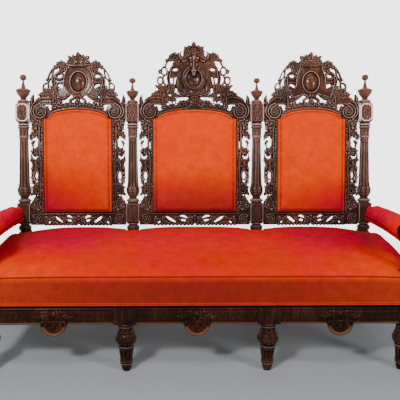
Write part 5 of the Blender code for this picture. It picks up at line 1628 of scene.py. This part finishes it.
# %% [markdown]
# ## Back pads
# A back pad has a narrow flat border nailed to the panel, a sewn seam inside it, and a shallow crown
# inside the seam. The border and the rear are held, so only the crown swells. The seam, the foot and
# the lower part of the pad are painted darker, as shade, and the border a little lighter, as a highlight.


# %% The outline of a back pad
PAD_FOOT = 93


def along_back(points, bay):
    """Points of a bay in millimetres: across, out from the back, and up the back."""
    upright = np.array(lean(bay_centre(bay)).inverted())
    return (points @ upright[:3, :3].T + upright[:3, 3]) * 1000


def edge_distance(place, half_pad):
    """How far a point of the pad's face lies inside its shouldered outline."""
    x, z = np.abs(place[:, 0]), place[:, 2]
    half_arch = half_pad - ARCH_INSET
    share = np.clip(x / half_arch, 0, 0.999)
    rise = np.sqrt(1 - share**2)
    slope = 1 / np.sqrt(1 + (ARCH_RISE / half_arch * share / rise) ** 2)
    above = np.where(x < half_arch, (SHOULDER + ARCH_RISE * rise - z) * slope, SHOULDER - z)
    above = np.where((z < SHOULDER) & (x > half_arch - 14), np.minimum(SHOULDER - z + 14, 60), above)
    return np.minimum(np.minimum(half_pad - x, np.maximum(above, 0)), z - PAD_FOOT)


# %% Back pads
BORDER = 15
PAD_SIDE = {"left": -1, "centre": 0, "right": 1}
FLUSH_TOP = {"left": 420, "centre": 350, "right": 320}
FLUSH_SHARE = {"left": 1.10, "centre": 1.30, "right": 1.05}
for bay in BAYS:
    half_pad = half_opening(bay) - STRIP
    pad = remeshed(f"back_pad_{bay}_stuffed", NODES[f"back_pad_{bay}"].data, 0.006)
    inside = edge_distance(along_back(coordinates(pad.data), bay), half_pad)
    rear = along_back(coordinates(pad.data), bay)[:, 1] > -22
    points = stuffed(pad, rear | (inside < BORDER), 0.009, 5.0)
    inside = edge_distance(along_back(points, bay), half_pad)
    seam = np.exp(-(((inside - BORDER) / 3.4) ** 2)) * ~rear
    rib = np.exp(-(((inside - BORDER / 2) / 4.5) ** 2)) * ~rear
    points[:, 1] += 0.0045 * seam - 0.0015 * rib
    moved(pad, points)
    place = along_back(points, bay)
    # Painted shade: the pad turns crimson and darker towards its lower corners, partly as the pile's colour.
    # The seam and the foot are painted dark, and the border rib light.
    low = 1 - smoothly(place[:, 2], 95, FLUSH_TOP[bay])
    corner = 0.5 + 0.5 * PAD_SIDE[bay] * place[:, 0] / half_pad
    flush = 0.02 + FLUSH_SHARE[bay] * low * (0.15 + 0.85 * corner**1.5)
    flush += 0.06 * smoothly(place[:, 2], 500, 610)
    nap = -0.22 - 0.55 * seam + 0.10 * rib - (0.45 if bay == "centre" else 0.2) * low
    nap -= 0.9 * smoothly(place[:, 2], 107, 98) * ~rear
    upholstered(pad, flush, nap)
    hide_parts(f"back_pad_{bay}")

# %% [markdown]
# ## Arm pads
# An arm pad is one fat roll over the arm rail. Its foot is nailed to the rail and its two ends are
# held by the post and the scroll.

# %% Arm pads
def arm_middle(share):
    """How far the bowed arm runs from the middle of the sofa, from its rear end, 0, to its scroll, 1."""
    return 0.896 + 0.004 * share + 0.012 * np.sin(math.pi * share)


ARM_TOP, ARM_UNDER, ARM_CLIMB = 0.5633, 0.545, 0.0213
for word, side in (("left", -1), ("right", 1)):
    pad = remeshed(f"arm_pad_{word}_stuffed", NODES[f"arm_pad_{word}"].data, 0.005)
    even = pad.modifiers.new("evened out", "SMOOTH")
    even.factor, even.iterations = 0.5, 8
    applied(pad)
    points = coordinates(pad.data)
    low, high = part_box(f"arm_pad_{word}")
    along = (high.y - points[:, 1]) / (high.y - low.y)
    foot = ARM_TOP + ARM_CLIMB * along
    axis_x = side * arm_middle(along)
    free = smoothly(points[:, 2] - foot, 0.006, 0.022) * smoothly(along, -0.02, 0.03)
    free *= smoothly(along, 1.0, 0.95)
    slack = points.copy()
    slack[:, 0] -= (points[:, 0] - axis_x) * 0.10 * free
    rear_end = (1 - smoothly(along, 0.0, 0.22)) * smoothly(points[:, 2] - foot, 0.01, 0.07)
    slack[:, 2] -= (0.005 + 0.013 * rear_end) * free
    moved(pad, slack)
    points = stuffed(pad, free < 0.5, 0.008, 4.0)
    moved(pad, points)
    # Painted shade: the tuck at the foot of the roll and its lower part are painted darker.
    tuck = np.exp(-(((points[:, 2] - foot - 0.005) / 0.004) ** 2))
    inner_side = smoothly(-side * (points[:, 0] - axis_x), 0.0, 0.03)
    flush = 1.0 - 0.45 * smoothly(along, 0.35, 0.90) + 0.15 * inner_side
    upholstered(pad, flush, 0.15 - 0.6 * tuck - 0.25 * smoothly(points[:, 2] - foot, 0.05, 0.01))
    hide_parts(f"arm_pad_{word}")

# %% [markdown]
# ## Arm covers
# The velvet of an arm does not end at the pad. It is drawn down over both sides of the wooden arm and
# nailed below, so hardly any wood shows. Each cover is a thin tube swept along the bowed arm.


# %% Arm covers
def tube(name, rings):
    """A closed skin over rings with the same number of points."""
    count, sides = len(rings), len(rings[0])
    index = np.arange(count * sides).reshape(count, sides)
    after = np.roll(index, -1, axis=1)
    walls = np.stack([index[:-1], after[:-1], after[1:], index[1:]], -1).reshape(-1, 4)
    faces = [*walls, index[0][::-1], index[-1]]
    mesh = mesh_from(name, np.concatenate(rings), faces)
    skin = bmesh.new()
    skin.from_mesh(mesh)
    bmesh.ops.recalc_face_normals(skin, faces=skin.faces)
    skin.to_mesh(mesh)
    skin.free()
    return piece_from(name, mesh)


# The cover's outline in millimetres: out from the middle of the arm, and up from its underside.
COVER = (
    (25.5, 0.3), (27.0, -0.3), (28.6, 1.2), (29.4, 7.0),
    (29.2, 13.0), (28.2, 17.0), (26.6, 18.0), (25.5, 17.2),
)
ARM_ENDS = (0.2068, -0.2990)
for word, side in (("left", -1), ("right", 1)):
    for part, face in (("inner", -1), ("outer", 1)):
        rings = []
        for s in np.linspace(0, 1, 40):
            x, under = arm_middle(s), ARM_UNDER + ARM_CLIMB * s
            y = ARM_ENDS[0] + s * (ARM_ENDS[1] - ARM_ENDS[0])
            rings.append([(side * (x + face * out / 1000), y, under + up / 1000) for out, up in COVER])
        cover = tube(f"arm_cover_{word}_{part}", rings)
        s = np.repeat(np.linspace(0, 1, 40), len(COVER))
        # Painted shade: the covers are painted darker than the pads.
        upholstered(cover, 1.0 - 0.4 * smoothly(s, 0.35, 0.9), np.full(len(s), -0.35))

# %% [markdown]
# ## Seat
# The seat is one stuffed case: a crowned top, notched round the back posts and pierced for the arm
# supports, and sides that run from the top seam down a boxing to a skirt over the rails. The top is a
# grid whose lines follow the notches. Every edge of the grid is then carried down as a wall.

# %% The seat's plan and height
SEAT_FRONT, SEAT_REAR = -0.3705, 0.2228
SEAT_FOOT, SEAT_UNDER = 0.311, 0.3458
NOTCH_FRONT = 0.193
STUMP_Y = (LEG_Y - 0.0264, LEG_Y + 0.0264)
STUMP_X = (0.8736, 0.9264)
HALF_NOTCH = 0.0365


def seat_half(y):
    return 0.940 - 0.030 * (y - SEAT_FRONT) / (SEAT_REAR - SEAT_FRONT)


def seat_edge(y):
    """Height of the top seam, which climbs from front to rear."""
    share = np.clip((y - SEAT_FRONT) / (SEAT_REAR - SEAT_FRONT), 0, 1)
    return 0.4355 + 0.0735 * np.sin(share * math.pi / 2)


# Where the inner posts, the outer posts and the arm supports come through: x, y, depth and reach.
DIPS = ((0.317, 0.235, 0.013, 0.11), (0.90, 0.235, 0.026, 0.15), (0.9, LEG_Y, 0.004, 0.075))


def seat_crown(across, y):
    """The crown over the seam, with dips where the posts and supports come through."""
    share = (y - SEAT_FRONT) / (SEAT_REAR - SEAT_FRONT)
    crown = 0.026 * (1 - across**6) * np.sin(math.pi * np.minimum(1, share + 0.04) ** 0.8)
    x = np.abs(across) * seat_half(y)
    crown = crown + 0.009 * smoothly(y, 0.02, 0.13) * smoothly(y, 0.215, 0.15)
    for post_x, post_y, depth, reach in DIPS:
        crown = crown - depth * np.exp(-((x - post_x) ** 2 + (y - post_y) ** 2) / reach**2)
    return crown - 0.006 * smoothly(np.abs(across), 0.93, 1.0)


def with_lines(low, high, count, special):
    """Even places between two ends, with the special ones put in and their near neighbours left out."""
    even = np.linspace(low, high, count)
    room = 0.4 * (high - low) / (count - 1)
    kept = [v for v in even if min(abs(v - s) for s in special) > room or v in (low, high)]
    return np.array(sorted(kept + list(special)))


inner, outer = POST_X["inner_right"], POST_X["outer_right"]
notches = [inner - HALF_NOTCH, inner + HALF_NOTCH, outer - HALF_NOTCH]
lines = [v / seat_half(NOTCH_FRONT) for v in notches] + [v / seat_half(LEG_Y) for v in STUMP_X]
across_lines = with_lines(-1, 1, 141, [side * v for v in lines for side in (-1, 1)])
depth_lines = with_lines(SEAT_FRONT + 0.004, SEAT_REAR, 46, [*STUMP_Y, NOTCH_FRONT])


# %% The seat's top and walls
def is_cut(across, y):
    x = abs(across) * seat_half(y)
    in_stump = STUMP_X[0] < x < STUMP_X[1] and STUMP_Y[0] < y < STUMP_Y[1]
    return in_stump or (y > NOTCH_FRONT and (notches[0] < x < notches[1] or x > notches[2]))


corner_points = {}
top_faces = []
for j in range(len(depth_lines) - 1):
    for i in range(len(across_lines) - 1):
        halfway = [(places[k] + places[k + 1]) / 2 for places, k in ((across_lines, i), (depth_lines, j))]
        if not is_cut(*halfway):
            around = ((i, j), (i + 1, j), (i + 1, j + 1), (i, j + 1))
            top_faces.append([corner_points.setdefault(key, len(corner_points)) for key in around])
grid = np.array([(across_lines[i], depth_lines[j]) for i, j in corner_points])
top_height = seat_edge(grid[:, 1]) + seat_crown(*grid.T)
top = np.column_stack([grid[:, 0] * (seat_half(grid[:, 1]) - 0.004), grid[:, 1], top_height])


def wall_loops(faces):
    """The open edges of the top, as closed loops with the cloth on their left."""
    edges = {(a, b) for face in faces for a, b in zip(face, face[1:] + face[:1])}
    following = {a: b for a, b in edges if (b, a) not in edges}
    while following:
        loop = [next(iter(following))]
        while loop[-1] in following:
            loop.append(following.pop(loop[-1]))
        yield loop[:-1]


# Rings down the wall: how far out in millimetres, how high, and what the height is counted from.
SHOWN_WALL = (
    (4, -3, "edge"), (4.6, -7, "edge"), (2.4, 0.80, "share"), (1.2, 0.50, "share"), (2.0, 0.22, "share"),
    (4, 17, "foot"), (4.6, 13, "foot"), (5, 6, "foot"), (4.5, 0, "foot"), (-11.8, 0.4, "foot"),
    (-11.8, 0, "under"),
)


def walled(points, faces):
    """Points and faces of the whole case. Each loop of the top gets a stack of rings below it."""
    points, faces = list(points), list(faces)
    count = len(points)
    kinds = [0] * count
    last = {}
    for loop in wall_loops(top_faces):
        at = np.array([top[i, :2] for i in loop])
        normals = []
        for way in (at - np.roll(at, 1, axis=0), np.roll(at, -1, axis=0) - at):
            length = np.linalg.norm(way, axis=1)[:, None]
            normals.append(np.stack([way[:, 1], -way[:, 0]], axis=1) / length)
        out = normals[0] + normals[1]
        out /= (1 + (normals[0] * normals[1]).sum(axis=1))[:, None]
        rings = [list(loop)]
        for number, (off, height, kind) in enumerate(SHOWN_WALL):
            ring = []
            for i, place, normal in zip(loop, at, out):
                shown = abs(grid[i, 0]) == 1 or grid[i, 1] == depth_lines[0]
                edge = top[i, 2]
                under_height = {
                    "edge": edge + height / 1000,
                    "share": SEAT_FOOT + 0.017 + height * (edge - SEAT_FOOT - 0.024),
                    "foot": SEAT_FOOT + height / 1000,
                    "under": SEAT_UNDER,
                }[kind]
                if shown:
                    spot = (*(place + normal * off / 1000), under_height)
                else:
                    z = max(under_height, SEAT_UNDER)
                    slant = 0.015 * (edge - z) / 0.16 if abs(grid[i, 1] - NOTCH_FRONT) < 1e-6 else 0
                    z = z if kind != "under" else SEAT_UNDER
                    spot = (place[0], place[1] - slant, z - number * 1e-5)
                ring.append(len(points))
                points.append(spot)
                kinds.append(number + 1 if shown else -1)
            rings.append(ring)
        for upper, lower in zip(rings, rings[1:]):
            for k in range(len(loop)):
                m = (k + 1) % len(loop)
                faces.append((upper[k], lower[k], lower[m], upper[m]))
        last.update(zip(loop, rings[-1]))
    under = {}
    for i in range(count):
        if i in last:
            under[i] = last[i]
        else:
            under[i] = len(points)
            points.append((top[i, 0], top[i, 1], SEAT_UNDER))
            kinds.append(-2)
    faces += [tuple(under[i] for i in reversed(face)) for face in top_faces]
    return np.array(points), faces, np.array(kinds)


# %% The stuffed seat
slack_top = top.copy()
near_front = smoothly(grid[:, 1], SEAT_FRONT, SEAT_FRONT + 0.10)
near_rear = smoothly(grid[:, 1], SEAT_REAR, SEAT_REAR - 0.08)
slack_top[:, 2] -= 0.006 * (1 - grid[:, 0] ** 8) * near_front * near_rear
points, faces, kinds = walled(slack_top, top_faces)
seat = piece_from("seat_cushion_stuffed", mesh_from("seat", points, faces))
near_edge = np.zeros(len(points), bool)
for loop in wall_loops(top_faces):
    near_edge[loop] = True
boxing = (kinds >= 3) & (kinds <= 5)
held = (near_edge | (kinds != 0)) & ~boxing
cap = np.where(boxing, 0.0025, 0.011)
points = stuffed(seat, held, cap, 4.0)
is_top = kinds == 0
wander = np.sin(points[:, 0] * 9 + 1.3) * np.sin(points[:, 1] * 14 + 0.4)
wander += 0.6 * np.sin(points[:, 0] * 23 + points[:, 1] * 17)
points[:, 2] += np.where(is_top & ~near_edge, 0.0009 * wander, 0)
moved(seat, points)
# Painted light and shade: the seat turns crimson towards its rear corners and ends, partly as the pile's
# colour and partly as shade.
across = points[:, 0] / seat_half(points[:, 1])
rear = smoothly(points[:, 1], -0.34, 0.08)
corners = smoothly(np.abs(across), 0.30, 0.75)
at_end = 0.60 * smoothly(np.abs(across), 0.90, 1.0)
top_flush = 0.08 + 0.31 * (1 - across**2) + rear * (0.30 + 0.76 * corners) + at_end
flush = np.where(is_top, top_flush, 0.30 - 0.40 * across**2)
# Painted shade: the ends, the middle front, the strip under each arm and the rear corners are painted darker,
# and the front boxing darkest and browner.
middle = (1 - across**2) * smoothly(points[:, 1], -0.05, -0.3)
arm_shadow = 0.42 * np.exp(-(((np.abs(across) - 0.89) / 0.055) ** 2)) * smoothly(points[:, 1], -0.25, -0.05)
top_shading = -0.14 - 0.30 * smoothly(np.abs(across), 0.94, 1.0) - 0.18 * middle
top_shading -= 0.1 * rear * corners + arm_shadow
nap = np.where(is_top, top_shading, -0.80 + 0.18 * across**2)
nap = np.where((kinds == 1) | (kinds == 2), -0.35, nap)
upholstered(seat, flush, nap)
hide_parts("seat_cushion")
print(f"seat: {len(seat.data.polygons)} faces, highest point {coordinates(seat.data)[:, 2].max():.3f} m")

# %% [markdown]
# ## Welts
# A welt is a cord wrapped in the same velvet and sewn into a seam. One runs along the top seam of the
# seat, and two together hide the nails at its foot.


# %% Welts round the seat
WELT_SIDES = 8


def welt(name, line, radius, flush, nap):
    """A cord swept along a line of points."""
    line = np.array(line)
    ahead = np.gradient(line, axis=0)
    ahead /= np.linalg.norm(ahead, axis=1)[:, None]
    across = np.cross(ahead, (0, 0, 1))
    across /= np.linalg.norm(across, axis=1)[:, None]
    above = np.cross(across, ahead)
    turns = 2 * math.pi * np.arange(WELT_SIDES) / WELT_SIDES
    cosine, sine = np.cos(turns)[:, None], np.sin(turns)[:, None]
    rings = [line[k] + radius * (cosine * across[k] + sine * above[k]) for k in range(len(line))]
    x = np.repeat(line[:, 0], WELT_SIDES)
    upholstered(tube(name, rings), flush - 0.12 * x * x, np.full(len(x), nap))


def seat_path(off, height):
    """Round the shown sides of the seat, from the left post to the right one."""
    corner = 0.010
    side_y = np.linspace(NOTCH_FRONT - 0.004, SEAT_FRONT + corner, 40)
    turn = np.linspace(0, math.pi / 2, 5)[1:-1]
    left = [(-seat_half(y) - off, y) for y in side_y]
    front_half, front_y = seat_half(SEAT_FRONT), SEAT_FRONT - off
    start = -front_half - off
    bend = [(start + corner * (1 - math.cos(t)), front_y + corner * (1 - math.sin(t))) for t in turn]
    front = [(x, front_y) for x in np.linspace(-front_half + corner, front_half - corner, 120)]
    half = left + bend
    whole = half + front + [(-x, y) for x, y in reversed(half)]
    return [(x, y, height(x, y)) for x, y in whole]


def top_seam(x, y):
    """The height of the seam, which follows the crown, the dips and all."""
    y = max(y, SEAT_FRONT + 0.004)
    return seat_edge(y) + seat_crown(np.clip(x / seat_half(y), -1, 1), y) - 0.0035


# Painted shadow: the welts are painted dark, as shadow lines along the seams.
welt("seat_top_welt", seat_path(-0.0006, top_seam), 0.0033, 0.60, -0.80)
welt("seat_foot_welt_upper", seat_path(0.0010, lambda x, y: SEAT_FOOT + 0.0105), 0.0034, 0.20, -0.50)
welt("seat_foot_welt_lower", seat_path(0.0010, lambda x, y: SEAT_FOOT + 0.0038), 0.0036, 0.20, -0.55)

# %% [markdown]
# ## The hidden frame and its stuffing
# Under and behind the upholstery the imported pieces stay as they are, and get the finish of what they
# are made of: planed beech, brown lining cloth, jute webbing and copper-washed spring wire.


# %% Beech, lining, jute and wire
def beech(name):
    made, tree, shader = finish(name)
    drawn = stretched_place(tree, (2, 14, 26))
    sockets = {"Vector": drawn, "Scale": 6.0, "Detail": 7.0, "Roughness": 0.6}
    grain = node(tree, "ShaderNodeTexNoise", {}, sockets)
    flecks = node(tree, "ShaderNodeTexVoronoi", {}, {"Vector": drawn, "Scale": 40.0})
    stops = [(0.30, (0.20, 0.105, 0.05)), (0.55, (0.36, 0.22, 0.115)), (0.80, (0.46, 0.31, 0.18))]
    wood = ramp(tree, stops, grain * 0.85 + flecks * 0.15)
    bump = bumps(tree, 0.15, grain + flecks * 0.3)
    feed(tree, shader, base_color=wood, roughness=0.58 + grain * 0.15, normal=bump)
    return made


def woven(name, dark, light, fineness):
    made, tree, shader = finish(name, roughness=0.9)
    place = node(tree, "ShaderNodeTexCoord", out=3)
    weave = threads(tree, place, "X", fineness, 0.6) * 0.5 + threads(tree, place, "Y", fineness, 0.6) * 0.5
    share = held_within(tree, weave * 0.7 + noise(tree, place, 30.0, 4.0) * 0.5 - 0.1)
    colour = blend_colours(tree, share, (*dark, 1), (*light, 1))
    feed(tree, shader, base_color=colour, normal=bumps(tree, 0.5, weave))
    return made


def wire(name):
    made, tree, shader = finish(name, metallic=0.75)
    place = node(tree, "ShaderNodeTexCoord", out=3)
    dull = noise(tree, place, 45.0, 5.0)
    stops = [(0.35, (0.16, 0.11, 0.08)), (0.60, (0.38, 0.27, 0.20))]
    feed(tree, shader, base_color=ramp(tree, stops, dull), roughness=0.38 + dull * 0.3)
    return made


BEECH = beech("planed beech")
JUTE = woven("jute webbing", (0.20, 0.14, 0.07), (0.46, 0.36, 0.21), 160.0)
LINING = woven("lining cloth", (0.035, 0.022, 0.018), (0.11, 0.075, 0.06), 320.0)
WIRE = wire("spring wire")

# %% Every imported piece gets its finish
FINISH_OF = {
    "back_rail": BEECH, "cross_rail": BEECH, "corner_brace": BEECH, "webbing": JUTE, "lining": LINING,
    "springs": WIRE, "pad": VELVET, "cushion": VELVET,
}
for node_name, packed in NODES.items():
    looks = [made for part, made in FINISH_OF.items() if part in node_name]
    for slot in packed.material_slots:
        slot.material = looks[-1] if looks else WALNUT
print(f"{len(NODES)} packed pieces painted")

# %% [markdown]
# ## Size
# The carving and the velvet must not make the sofa bigger than the joiner's model, apart from the few
# millimetres that stuffing may stand proud. The finished box is set against the joiner's box, and how
# far each side has grown is printed in millimetres.

# %% Both boxes, and the end
visual_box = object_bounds()
grown = [[round((v - c) * 1000, 1) for v, c in zip(*pair)] for pair in zip(visual_box, cad_box)]
print("grown by", grown, "mm")
